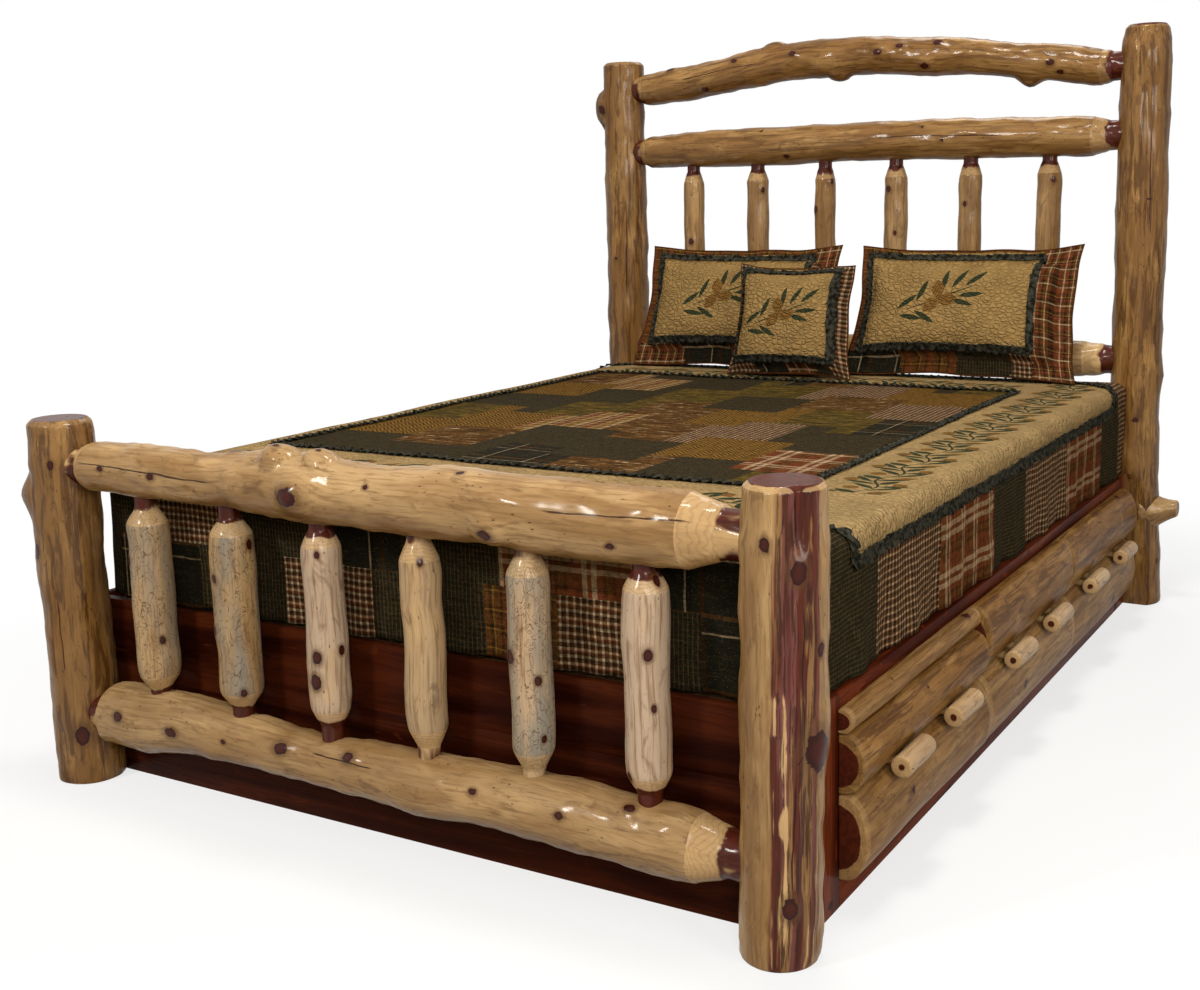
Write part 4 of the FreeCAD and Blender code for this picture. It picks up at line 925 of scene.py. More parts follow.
def tan_finish(name, sprays, period=None, line=0.20, shade=(1.0, 1.0, 1.0)):
    """Tan cloth quilted in close rows, with painted shade along the stitches and printed leaves and berries.
    """
    colours = settings()[1]
    finish = Finish(name, roughness=0.92, Specular_IOR_Level=0.03)
    flat = finish.flat()
    pucker = stipple(finish, flat)
    mottle = finish.noise(flat, 9.0, 3.0)
    tan = tuple(part * dim for part, dim in zip(colours.tan, shade))
    cloth = finish.mix(finish.ease(mottle, 0.35, 0.70), tan, scaled(tan, 0.80))
    # Painted shade along the stitched grooves, as strong as the line share
    cloth = finish.mix(finish.part(pucker, 0.60, 0.0, line), cloth, colours.bark)
    drawn = flat
    if period:
        x, y, _ = finish.split(finish.read("border_place"))
        cell = finish.minus(finish.math("FRACT", finish.math("DIVIDE", x, period)), 0.5)
        wave = finish.times(finish.math("SINE", finish.times(cell, 2 * math.pi)), 0.013)
        drawn = finish.build(finish.times(cell, period), finish.plus(y, wave))
    weave = finish.noise(flat, 900.0, 2.0)
    for kind, middle, angle, length, width in sprays:
        share = leaf_shape(finish, drawn, middle, math.radians(angle), length, width)
        ink = colours.leaf if kind == "leaf" else colours.berry
        pale = scaled(ink, 1.7)
        slant = math.radians(angle + 60)
        stripes = finish.vector("DOT_PRODUCT", drawn, (math.cos(slant), math.sin(slant), 0))
        hatch = finish.ease(finish.math("SINE", finish.times(stripes, 900.0)), 0.0, 0.9)
        cloth = finish.mix(share, cloth, finish.mix(hatch, ink, pale))
    height = finish.plus(pucker, finish.times(weave, 0.10))
    return finish.done(cloth, height, 0.0034)


def ruffle_finish(name):
    """Dark raw-edged ruffle."""
    colours = settings()[1]
    finish = Finish(name, roughness=0.95, Specular_IOR_Level=0.03)
    place = finish.place()
    threads = finish.noise(place, 320.0, 3.0, 0.6)
    tufts = finish.noise(place, 90.0, 2.0)
    light = (0.043, 0.042, 0.032)
    colour = finish.mix(finish.ease(tufts, 0.35, 0.65), scaled(colours.green, 0.45), light)
    colour = finish.mix(finish.part(threads, 0.62, 0.74, 0.4), colour, colours.gold)
    return finish.done(colour, threads, 0.0012)


def ticking_finish(name):
    """Cream mattress ticking, quilted in diamonds."""
    finish = Finish(name, roughness=0.85, Sheen_Weight=0.1)
    x, y, z = finish.split(finish.place())
    first = finish.math("PINGPONG", finish.plus(finish.plus(x, y), z), 0.045)
    second = finish.math("PINGPONG", finish.minus(finish.minus(x, y), z), 0.045)
    quilting = finish.ease(finish.math("MINIMUM", first, second), 0.0, 0.012)
    weave = finish.noise(finish.place(), 700.0, 2.0)
    colour = finish.mix(quilting, (0.42, 0.38, 0.31), (0.66, 0.62, 0.54))
    colour = finish.mix(finish.part(weave, 0.5, 0.7, 0.25), colour, (0.48, 0.43, 0.34))
    return finish.done(colour, finish.plus(quilting, finish.times(weave, 0.1)), 0.004)


# Logs
def ring_at(rings, along):
    """Radius and wander of a log at one place along it."""
    previous = rings[0]
    for following in rings:
        if following[0] >= along:
            span = following[0] - previous[0]
            share = (along - previous[0]) / span if span > 0 else 0
            return [a + (b - a) * share for a, b in zip(previous, following)][1:]
        previous = following
    return list(rings[-1][1:])


def extrude_log(name, rings, sides):
    """A closed cage along Z: a disc extruded from ring to ring, each sized and placed."""
    clear_choice()
    along, radius, side, rise = rings[0]
    bpy.ops.mesh.primitive_circle_add(
        vertices=sides, radius=radius, fill_type="NGON", location=(side, rise, along))
    log = settle(bpy.context.object)
    log.name = name
    start_edit()
    bpy.ops.mesh.select_all(action="SELECT")
    for before, after in zip(rings, rings[1:]):
        move = (after[2] - before[2], after[3] - before[3], after[0] - before[0])
        bpy.ops.mesh.extrude_region_move(TRANSFORM_OT_translate={"value": move})
        factor = after[1] / before[1]
        bpy.ops.transform.resize(
            value=(factor, factor, 1), center_override=(after[2], after[3], after[0]))
    end_edit()
    ends = [face.index for face in log.data.polygons if len(face.vertices) == sides]
    for index in ends:
        drop_choice()
        log.data.polygons[index].select = True
        start_edit()
        for share in (0.12, 0.40):
            bpy.ops.mesh.inset(thickness=rings[0 if index == ends[0] else -1][1] * share)
        end_edit()
    outward(log)
    return log


def raise_knots(log, knots, centre_of, turn):
    """Pull a swelling out of a log at each knot, by proportional editing."""
    for along, angle, radius, proud in knots:
        centre = centre_of(along)
        way = turn @ Vector((math.cos(angle), math.sin(angle), 0))
        offsets = points_of(log) - np.array(centre)
        reach = offsets @ np.array(way)
        away = np.linalg.norm(offsets - np.outer(reach, np.array(way)), axis=1)
        away[reach < 0] = FAR
        choose(log)
        drop_choice()
        log.data.vertices[int(np.argmin(away))].select = True
        start_edit()
        bpy.ops.transform.translate(
            value=way * proud, use_proportional_edit=True,
            proportional_edit_falloff="SMOOTH" if proud < 0.012 or radius > 0.012 else "SPHERE",
            proportional_size=max(radius * 3.4, proud * 2.1))
        end_edit()


def far_notes(count):
    """For each vertex, a place that is far from every knot and split."""
    return np.tile(np.array([FAR, FAR, 0.0]), (count, 1))


def keep_nearer(distance, best, notes):
    """Note the distance to one knot where no knot so far is nearer."""
    near = distance < best
    best[near] = distance[near]
    notes[near] = np.stack([distance, distance * 0, np.where(distance > KNOT_REACH, FAR, 0.0)], 1)[near]


def note_knots(log, knots, centre_of, turn):
    """Keep for each vertex where it lies round its nearest knot, in knot radii."""
    points = points_of(log)
    best = np.full(len(points), FAR)
    notes = far_notes(len(points))
    axis = np.array(turn @ Vector((0, 0, 1)))
    for along, angle, radius, _ in knots:
        way = np.array(turn @ Vector((math.cos(angle), math.sin(angle), 0)))
        offsets = points - np.array(centre_of(along))
        lengthwise = offsets @ axis / (radius * 1.35)
        crosswise = offsets @ np.cross(axis, way) / radius
        distance = np.hypot(lengthwise, crosswise)
        distance[offsets @ way < 0] = FAR
        keep_nearer(distance, best, notes)
    note_vector(log, "knot_place", notes)


def note_splits(thing, place, splits):
    """Keep for each vertex where it lies along and across the nearest drying split."""
    notes = far_notes(len(place))
    radius = np.hypot(place[:, 0], place[:, 1])
    for start, first, stop, last in splits:
        share = (place[:, 2] - start) / (stop - start)
        angle = np.radians(first + (last - first) * share)
        across = -place[:, 0] * np.sin(angle) + place[:, 1] * np.cos(angle)
        facing = place[:, 0] * np.cos(angle) + place[:, 1] * np.sin(angle)
        near = (np.abs(across) < radius * 0.7) & (facing > 0) & (share > -0.2) & (share < 1.2)
        notes[near] = np.stack([share, across, np.zeros(len(place))], 1)[near]
    note_vector(thing, "split_place", notes)


def wear_groove(local, rings, angle, half, depth, low, high):
    """Sink a shallow wandering groove into a log."""
    for index, (x, y, z) in enumerate(local):
        if not low < z < high:
            continue
        _, side, rise = ring_at(rings, z)
        waver = 7.0 * noise.noise(Vector((z * 6.0, angle * 0.1, 0.5)))
        away = (math.degrees(math.atan2(y - rise, x - side)) - angle - waver + 180) % 360 - 180
        if abs(away) > half * 3:
            continue
        fade = min((z - low) / 0.05, (high - z) / 0.05, 1.0)
        sink = depth * fade * math.exp(-(away / half) ** 2)
        radius = math.hypot(x - side, y - rise)
        local[index, 0] -= (x - side) / radius * sink
        local[index, 1] -= (y - rise) / radius * sink


def grow_log(label, rings, tone, seed, turn=None, origin=(0, 0, 0), sides=16, levels=3, cut=(), bulk=1.0):
    """A peeled log with its knots, its uneven surface and the notes that its finish reads."""
    sizes = settings()[0]
    turn = turn or Matrix.Identity(3)
    origin = Vector(origin)
    knots = knots_of(label)
    log = extrude_log(label + "_log", rings, sides)
    log.matrix_world = Matrix.Translation(origin) @ turn.to_4x4()
    settle(log)
    smoothed(log, levels)

    def centre_of(along):
        _, side, rise = ring_at(rings, along)
        return origin + turn @ Vector((side, rise, along))

    raise_knots(log, [knot for knot in knots if knot[3] > 0.0015], centre_of, turn)
    lengthwise = (points_of(log) - np.array(origin)) @ np.array(turn)
    for kind, size, depth in (("swell", 0.085, sizes.log_swell), ("peel", 0.024, sizes.peel_depth)):
        texture = bpy.data.textures.get(kind) or bpy.data.textures.new(kind, "CLOUDS")
        texture.noise_scale = size
        texture.noise_depth = 1
        apply_modifier(
            log, "DISPLACE", texture=texture, texture_coords="LOCAL", strength=depth * bulk, mid_level=0.5)
    local = (points_of(log) - np.array(origin)) @ np.array(turn)
    local[:, 2] = lengthwise[:, 2]
    for angle, half, depth, low, high in GROOVES.get(label, ()):
        wear_groove(local, rings, angle, half, metres(depth), metres(low), metres(high))
    move_points(log, local @ np.array(turn).T + np.array(origin))
    table = np.array(rings)
    table = table[np.argsort(table[:, 0], kind="stable")]
    side, rise = (np.interp(local[:, 2], table[:, 0], table[:, column]) for column in (2, 3))
    place = np.stack([local[:, 0] - side, local[:, 1] - rise, local[:, 2]], 1)
    note_vector(log, "log_place", place)
    note_knots(log, knots, centre_of, turn)
    note_splits(log, place, [
        (metres(start), first, metres(stop), last) for start, first, stop, last in SPLITS.get(label, ())])
    note_colour(log, "log_tone", tone)
    note_vector(log, "log_seed", np.tile([seed * 1.7, seed * 2.3, seed * 0.9], (len(place), 1)))
    shares = np.zeros(len(place))
    for low, high in cut:
        shares[(place[:, 2] >= low) & (place[:, 2] <= high)] = 1.0
    note_number(log, "log_cut", shares)
    return log


def knots_of(name):
    """The knots of one log, in metres and radians."""
    return [
        (metres(along), math.radians(angle), metres(radius), metres(proud))
        for along, angle, radius, proud in KNOTS.get(name, ())
    ]


def post_rings(name, height):
    """Rings of a post: sawn foot, body, and a bevelled sawn top."""
    body = POST_RINGS[name]
    first, last = body[0], body[-1]
    sawn = [(along, first[1] - less, *first[2:]) for along, less in ((0.0, 0.003), (0.003, 0.0))]
    top = [
        (height - below, last[1] - less, *last[2:])
        for below, less in ((0.014, 0.0), (0.0085, 0.0008), (0.0012, 0.0085), (0.0, 0.011))
    ]
    return [*sawn, *body[1:-1], *top]


class LOGBED_OT_posts(bpy.types.Operator):
    """Model the four log posts, with their knots and the branch stub"""
    bl_idname = "log_bed.posts"
    bl_label = "Log Posts"

    def execute(self, context):
        finish = known("varnished_log", log_finish)
        for index, name in enumerate(POST_RINGS):
            end, _, side = name.split("_")
            sign = 1 if side == "right" else -1
            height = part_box(name)[1].z
            x = sign * (FOOT_POST_X if end == "foot" else HEAD_POST_X)
            y = LINES[end]
            post = grow_log(
                name, post_rings(name, height), LOG_TONES[name], index + 1.0, origin=(x, y, 0),
                cut=((height - 0.009, FAR), (-FAR, 0.0005)))
            parts = [post]
            if name == "head_post_right":
                parts.append(branch_stub(x, y))
            flatten(post, end)
            whole = join_all(parts, name + "_log")
            dress(whole, "bed", [finish], (name,), 38)
        return {"FINISHED"}


def flatten(post, end):
    """Saw the flat that seats a post on the drawer case."""
    points = points_of(post)
    low = points[:, 2] < POST_SEAT_TOP
    if end == "foot":
        points[low, 1] = np.minimum(points[low, 1], FOOT_LINE + POST_SEAT)
    else:
        points[low, 1] = np.maximum(points[low, 1], HEAD_LINE - POST_SEAT)
    move_points(post, points)


def branch_stub(x, y):
    """The sawn branch that grows from the right head post."""
    rings = (
        (0.030, 0.060, 0.0, 0.000), (0.060, 0.048, 0.0, -0.006), (0.080, 0.037, 0.0, -0.002),
        (0.098, 0.029, 0.0, 0.004), (0.112, 0.026, 0.0, 0.007), (0.120, 0.0235, 0.0, 0.009),
        (0.1225, 0.0190, 0.0, 0.009),
    )
    return grow_log(
        "branch_stub", rings, (0.017, 0.7, 0.2, 0.0), 9.0, ALONG_X, (x, y, 0.252), 12, 2,
        cut=((0.1205, FAR),))


def rail_rings(name):
    """Rings of a rail: tenon, cone, shoulder, body, shoulder, cone, tenon."""
    body = list(RAIL_RINGS[name])
    left_neck, right_neck, tenon = RAIL_NECKS[name]
    tip = RAIL_TIPS[name.split("_")[0]]

    def cone(shoulder, neck, end):
        toward = 1 if neck > shoulder[0] else -1
        x, radius, back, rise = shoulder
        return [
            (x + toward * 0.0020, radius - 0.0006, back, rise),
            (x + toward * 0.0060, radius - 0.0028, back, rise),
            (neck - toward * 0.016, tenon + 0.0070, back, rise),
            (neck - toward * 0.008, tenon + 0.0030, back, rise),
            (neck - toward * 0.004, tenon + 0.0006, back, rise),
            (neck + toward * 0.006, tenon, back, rise),
            (end, tenon, back, rise),
        ]

    return cone(body[0], left_neck, -tip)[::-1] + body + cone(body[-1], right_neck, tip)


class LOGBED_OT_rails(bpy.types.Operator):
    """Model the two rails of the footboard and the three of the headboard"""
    bl_idname = "log_bed.rails"
    bl_label = "Log Rails"

    def execute(self, context):
        finish = known("varnished_log", log_finish)
        for index, (name, rings) in enumerate(RAIL_RINGS.items()):
            rail = grow_log(
                name, rail_rings(name), LOG_TONES[name], index + 11.0, ALONG_X, (0, LINES[name[:4]], 0),
                cut=((-FAR, rings[0][0] - 0.002), (rings[-1][0] + 0.002, FAR)))
            if name == "foot_bottom_rail":
                points = points_of(rail)
                points[:, 1] = np.minimum(points[:, 1], FOOT_LINE + POST_SEAT)
                move_points(rail, points)
            dress(rail, "bed", [finish], (name,), 42)
        return {"FINISHED"}


def spindle_rings(x, radius, low, high, wander):
    """Rings of a spindle: tenon, cone, body, cone, tenon."""
    generator = random.Random(int(wander * 10))
    tenon = SPINDLE_TENON
    start, stop = low + SPINDLE_DEPTH, high - SPINDLE_DEPTH
    first, last = start + SPINDLE_NECK, stop - SPINDLE_NECK

    def shoulder(neck, toward):
        return [
            (neck - toward * 0.006, tenon, x, 0), (neck, tenon + 0.0008, x, 0),
            (neck + toward * 0.007, tenon + 0.0050, x, 0), (neck + toward * 0.020, radius * 0.84, x, 0),
            (neck + toward * 0.029, radius * 0.95, x, 0), (neck + toward * 0.036, radius * 0.975, x, 0),
        ]

    rings = [(start, tenon, x, 0)] + shoulder(first, 1)
    count = 8 if high - low > 0.5 else 6
    for step in range(count):
        share = step / (count - 1)
        swell = 1 + generator.uniform(-0.055, 0.030)
        rings.append((
            first + 0.056 + share * (last - first - 0.112), radius * swell,
            x + generator.uniform(-0.0024, 0.0024), generator.uniform(-0.0018, 0.0018)))
    return rings + shoulder(last, -1)[::-1] + [(stop, tenon, x, 0)]


class LOGBED_OT_spindles(bpy.types.Operator):
    """Model the twelve tapered spindles"""
    bl_idname = "log_bed.spindles"
    bl_label = "Log Spindles"

    def execute(self, context):
        finish = known("varnished_log", log_finish)
        for end, radii, low, high, first_seed in (
            ("foot", FOOT_SPINDLE_RADII, 0.148, 0.636, 23.8),
            ("head", HEAD_SPINDLE_RADII, 0.652, 1.245, 26.9),
        ):
            for index, radius in enumerate(radii):
                name = "%s_spindle_%d" % (end, index + 1)
                x = (index - 2.5) * SPINDLE_SPACING
                rings = spindle_rings(x, radius, low, high, index + (0 if end == "foot" else 6))
                spindle = grow_log(
                    name, rings, LOG_TONES.get(name, SPINDLE_TONE), index * 1.3 + first_seed,
                    origin=(0, LINES[end], 0), sides=12, bulk=0.30,
                    cut=((-FAR, low + SPINDLE_CUT), (high - SPINDLE_CUT, FAR)))
                dress(spindle, "bed", [finish], (name,), 45)
        return {"FINISHED"}


# Drawer case
def board(name, low, high):
    """One board with eased edges between two corners."""
    clear_choice()
    low, high = Vector(low), Vector(high)
    bpy.ops.mesh.primitive_cube_add(size=1, location=(low + high) / 2)
    piece = bpy.context.object
    piece.name = name
    piece.scale = high - low
    settle(piece)
    start_edit()
    bpy.ops.mesh.select_all(action="SELECT")
    bpy.ops.mesh.bevel(offset=settings()[0].board_edge, segments=2, affect="EDGES")
    end_edit()
    return piece


class LOGBED_OT_case(bpy.types.Operator):
    """Model the cedar boards of the case and finish the boards inside it"""
    bl_idname = "log_bed.case"
    bl_label = "Drawer Case"

    def execute(self, context):
        # The shade factor darkens the end panel boards to 0.36 and the side rails to 0.88: painted shade for
        # boards that stand in shadow, the panels deepest
        across = known("cedar_across", lambda name: cedar_finish(name, "x", shade=0.36))
        lengthwise = known("cedar_lengthwise", lambda name: cedar_finish(name, "y", shade=0.88))
        upright = known("cedar_upright", lambda name: cedar_finish(name, "z", 0.8))
        for end in ("foot", "head"):
            low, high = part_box(end + "_panel")
            seams = (0.0, 0.119, 0.238, high.z)
            boards = [
                board("panel_board", (low.x, low.y, bottom), (high.x, high.y, top))
                for bottom, top in zip(seams, seams[1:])
            ]
            dress(join_all(boards, end + "_panel_boards"), "bed", [across],
                  (end + "_panel",), 30)
        for side in ("right", "left"):
            for place in ("top", "bottom"):
                node = "case_%s_rail_%s" % (place, side)
                low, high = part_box(node)
                dress(board(node + "_board", low, high), "bed", [lengthwise], (node,), 30)
            node = "case_stiles_" + side
            low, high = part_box(node)
            first, last = BAYS[0][1] + STILE_HALF, BAYS[-1][2] - STILE_HALF
            rail_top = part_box("case_bottom_rail_" + side)[1].z
            rail_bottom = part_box("case_top_rail_" + side)[0].z
            pieces = [
                board("stile", (low.x, low.y, 0), (high.x, first, high.z)),
                board("stile", (low.x, last, 0), (high.x, high.y, high.z)),
            ]
            for _, edge, _, _, _, _ in BAYS[1:]:
                pieces.append(board(
                    "stile", (low.x, edge - STILE_HALF, rail_top), (high.x, edge + STILE_HALF, rail_bottom)))
            dress(join_all(pieces, node + "_boards"), "bed", [upright], (node,), 30)
        plain = {
            "centre_partition": "y", "cross_partitions": "x", "deck_panels": "x", "drawer_runners": "x",
        }
        for node, axis in plain.items():
            finish_node(node, known("board_along_" + axis, lambda name: board_finish(name, axis)))
        finish_node("bed_bolts", known("zinc_steel", steel_finish))
        return {"FINISHED"}


def finish_node(node, material):
    """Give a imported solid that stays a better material."""
    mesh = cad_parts[node].data
    mesh.materials.clear()
    mesh.materials.append(material)


# Drawers
def rod(name, sides, radius, length, turn, place=(0, 0, 0)):
    """A plain closed cylinder, turned and placed."""
    clear_choice()
    bpy.ops.mesh.primitive_cylinder_add(
        vertices=sides, radius=radius, depth=length, end_fill_type="NGON", rotation=turn, location=place)
    thing = settle(bpy.context.object)
    thing.name = name
    return thing


def half_slab(name, width, height, proud, rim):
    """A half log along Y: a flat back at X = 0, a round face and rounded ends."""
    slab = rod(name, 36, 1, width, ALONG_Y)
    lip = 0.010
    slab.scale = (proud - lip, 1, height / 2)
    settle(slab)
    start_edit()
    bpy.ops.mesh.select_all(action="SELECT")
    bpy.ops.mesh.bisect(
        plane_co=(0, 0, 0), plane_no=(1, 0, 0), use_fill=True, clear_inner=True, clear_outer=False)
    bpy.ops.mesh.extrude_region_move(TRANSFORM_OT_translate={"value": (-lip, 0, 0)})
    end_edit()
    points = points_of(slab)
    points[:, 0] += lip
    move_points(slab, points)
    outward(slab)
    half = width / 2
    pick_edges(slab, lambda first, second: (
        abs(abs(first.y) - half) < NEAR and abs(first.y - second.y) < NEAR
        and max(first.x, second.x) > 0.004))
    bpy.ops.mesh.bevel(offset=rim, segments=4, affect="EDGES", clamp_overlap=True)
    slice_lengths(width, 24)
    end_edit()
    return slab


def wave_slab(slab, proud, height, width, seed):
    """Give a slab the uneven face of a peeled log, and curve its ends as if scribed."""
    points = points_of(slab)
    share = np.clip(points[:, 0] / proud, 0, 1)
    for index, (x, y, z) in enumerate(points):
        if share[index] > 0.25:
            swell = noise.noise(Vector((seed * 3.1, y * 4.5, z * 9.0)))
            fine = noise.noise(Vector((seed * 5.7, y * 17.0, z * 40.0)))
            points[index, 0] += (swell * 0.0030 + fine * 0.0009) * share[index]
            points[index, 2] += noise.noise(Vector((seed * 7.3, y * 3.0, 1.0))) * 0.0025 * share[index]
    move_points(slab, points)
    place = np.stack([points[:, 0] / proud * 0.060, points[:, 2] / (height / 2) * 0.060, points[:, 1]], 1)
    note_vector(slab, "log_place", place)
    generator = random.Random(int(seed * 10))
    best = np.full(len(points), FAR)
    notes = far_notes(len(points))
    for _ in range(3):
        y = generator.uniform(-0.42, 0.42) * width
        angle = generator.uniform(0.25, 2.8)
        radius = generator.uniform(0.005, 0.010)
        x, z = proud * math.sin(angle), -height / 2 * math.cos(angle)
        lengthwise = (points[:, 1] - y) / (radius * 1.5)
        crosswise = np.hypot(points[:, 0] - x, points[:, 2] - z) / radius
        keep_nearer(np.hypot(lengthwise, crosswise), best, notes)
    note_vector(slab, "knot_place", notes)
    note_vector(slab, "log_seed", np.tile([seed * 1.7, seed * 2.3, seed * 0.9], (len(points), 1)))
    note_splits(slab, place, ())
    note_number(slab, "log_cut", np.abs(points[:, 1]) > width / 2 - 0.0095)


def note_short_log(thing, place, seed, cut):
    """Keep the notes of a short log with no knot and no split."""
    note_vector(thing, "log_place", place)
    note_splits(thing, place, ())
    note_vector(thing, "knot_place", far_notes(len(place)))
    note_vector(thing, "log_seed", np.tile([seed * 1.1, seed * 2.1, seed * 3.1], (len(place), 1)))
    note_number(thing, "log_cut", cut)


def log_pull(name, length, radius, seed):
    """A short log bar along Y with eased ends."""
    bar = rod(name, 20, radius, length, ALONG_Y)
    pick_edges(bar, lambda first, second: abs(first.y - second.y) < NEAR)
    bpy.ops.mesh.bevel(offset=0.0045, segments=3, affect="EDGES")
    slice_lengths(length, 8)
    end_edit()
    points = points_of(bar)
    place = points[:, [0, 2, 1]]
    for index, y in enumerate(points[:, 1]):
        points[index, [0, 2]] *= 1 + 0.05 * noise.noise(Vector((seed * 2.9, y * 22.0, 0.3)))
    move_points(bar, points)
    note_short_log(bar, place, seed, np.abs(points[:, 1]) > length / 2 - 0.001)
    return bar


def pull_peg(name):
    """A round peg that holds a pull, from the drawer box to the bar."""
    peg = rod(name, 16, PEG_RADIUS, PULL_REACH - 0.001, (0, math.pi / 2, 0), (PULL_REACH / 2, 0, 0))
    points = points_of(peg)
    note_short_log(peg, points[:, [1, 2, 0]], 1.0, np.zeros(len(points)))
    return peg


class LOGBED_OT_drawers(bpy.types.Operator):
    """Model the half log fronts and the log pulls, and finish the drawer boxes"""
    bl_idname = "log_bed.drawers"
    bl_label = "Drawers"

    def execute(self, context):
        sizes = settings()[0]
        finish = known("varnished_log", log_finish)
        slab_finish = known("half_log_varnish", lambda name: log_finish(name, 0.06))
        plain = known("board_along_x", lambda name: board_finish(name, "x"))
        for side, sign in (("right", 1), ("left", -1)):
            for number, (bay, low, high, seams, prouds, spacing) in enumerate(BAYS):
                drawer = "%s_%s_drawer" % (side, bay)
                width = high - low - FRONT_GAP
                middle = (low + high) / 2
                slabs = []
                for index, proud in enumerate(prouds):
                    seed = number * 3.7 + index * 1.9 + (0 if sign > 0 else 20) + 31
                    tall = FRONT_HEIGHT * (seams[index + 1] - seams[index]) - FRONT_GAP
                    slab = half_slab(drawer + "_slab", width, tall, proud, sizes.slab_rim)
                    wave_slab(slab, proud, tall, width, seed)
                    note_colour(slab, "log_tone", (0.046, 0.84 + 0.12 * (index % 2), 0.0, 0.0))
                    centre = FRONT_BOTTOM + FRONT_HEIGHT * (seams[index] + seams[index + 1]) / 2
                    place_on_front(slab, sign, middle, centre)
                    slabs.append(slab)
                front = join_all(slabs, drawer + "_half_logs")
                dress(front, drawer, [slab_finish], (drawer + "_front",), 40)
                bars = []
                for hand in (-1, 1):
                    across = hand * (high - low) * spacing / 2
                    bar = log_pull(
                        drawer + "_bar", PULL_LENGTH, PULL_RADIUS, number * 2.3 + hand + sign * 5 + 60)
                    note_colour(bar, "log_tone", PULL_TONE)
                    place_on_front(bar, sign, middle + sign * across, PULL_HEIGHT, PULL_REACH)
                    bars.append(bar)
                    for peg_hand in (-1, 1):
                        peg = pull_peg(drawer + "_peg")
                        note_colour(peg, "log_tone", PEG_TONE)
                        place_on_front(peg, sign, middle + sign * across + peg_hand * PEG_SPREAD, PULL_HEIGHT)
                        bars.append(peg)
                dress(join_all(bars, drawer + "_log_pulls"), drawer, [finish],
                      (drawer + "_pulls",), 40)
                finish_node(drawer + "_box", plain)
        return {"FINISHED"}


def place_on_front(piece, sign, y, z, reach=0.0):
    """Move a piece drawn at the origin to its place on the right or the left side."""
    piece.rotation_euler = (0, 0, 0 if sign > 0 else math.pi)
    piece.location = (sign * (CASE_FACE + 0.0005 + reach), y, z)
    settle(piece)


# Bedding
class LOGBED_OT_mattress(bpy.types.Operator):
    """Model the mattress with its rounded edges and taped seams"""
    bl_idname = "log_bed.mattress"
    bl_label = "Mattress"

    def execute(self, context):
        clear_choice()
        low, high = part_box("mattress")
        bpy.ops.mesh.primitive_cube_add(size=1, location=(low + high) / 2)
        mattress = bpy.context.object
        mattress.name = "mattress_body"
        mattress.scale = high - low
        settle(mattress)
        pick_edges(mattress, lambda first, second: abs(first.z - second.z) > 0.1)
        bpy.ops.mesh.bevel(offset=0.060, segments=6, affect="EDGES")
        seams = (low.z + 0.022, high.z - 0.022)
        for height in seams:
            for shift in (-0.004, 0.0, 0.004):
                bpy.ops.mesh.select_all(action="SELECT")
                bpy.ops.mesh.bisect(plane_co=(0, 0, height + shift), plane_no=(0, 0, 1))
        end_edit()
        points = points_of(mattress)
        middle = ((np.array(low) + np.array(high)) / 2)[:2]
        for height in seams:
            off = np.abs(points[:, 2] - height)
            beside = (off > 0.003) & (off < 0.006)
            points[beside, :2] = middle + (points[beside, :2] - middle) * 0.9965
        for height in (low.z, high.z):
            flat = np.abs(points[:, 2] - height) < 1e-4
            points[flat, :2] = middle + (points[flat, :2] - middle) * 0.985
        move_points(mattress, points)
        apply_modifier(mattress, "BEVEL", width=0.006, segments=2, limit_method="ANGLE")
        dress(mattress, "bed", [known("mattress_ticking", ticking_finish)], ("mattress",), 40)
        return {"FINISHED"}


TOP_HALF = QUILT_SIDE - QUILT_EDGE
TOP_FOOT = QUILT_FOOT - QUILT_EDGE
EDGE_RUN = QUILT_EDGE * math.pi / 2
DROP_RUN = EDGE_RUN + QUILT_TOP - QUILT_EDGE - QUILT_HEM


def corner_shape(x, y):
    """A point of the square top moved onto the rounded top, and the way out of it there."""
    inner_x = TOP_HALF - QUILT_CORNER
    inner_y = -TOP_FOOT + QUILT_CORNER
    across = (abs(x) - inner_x) / QUILT_CORNER
    along = (inner_y - y) / QUILT_CORNER
    sign = 1 if x >= 0 else -1
    if across > 0 and along > 0:
        u, v = min(across, 1.0), min(along, 1.0)
        new_u = u * math.sqrt(1 - v * v / 2)
        new_v = v * math.sqrt(1 - u * u / 2)
        way = Vector((sign * new_u, -new_v, 0)).normalized()
        return sign * (inner_x + QUILT_CORNER * new_u), inner_y - QUILT_CORNER * new_v, way
    if along >= 1.0 or (across <= 0 and along > 0.5):
        return x, y, Vector((0, -1, 0))
    return x, y, Vector((sign, 0, 0))


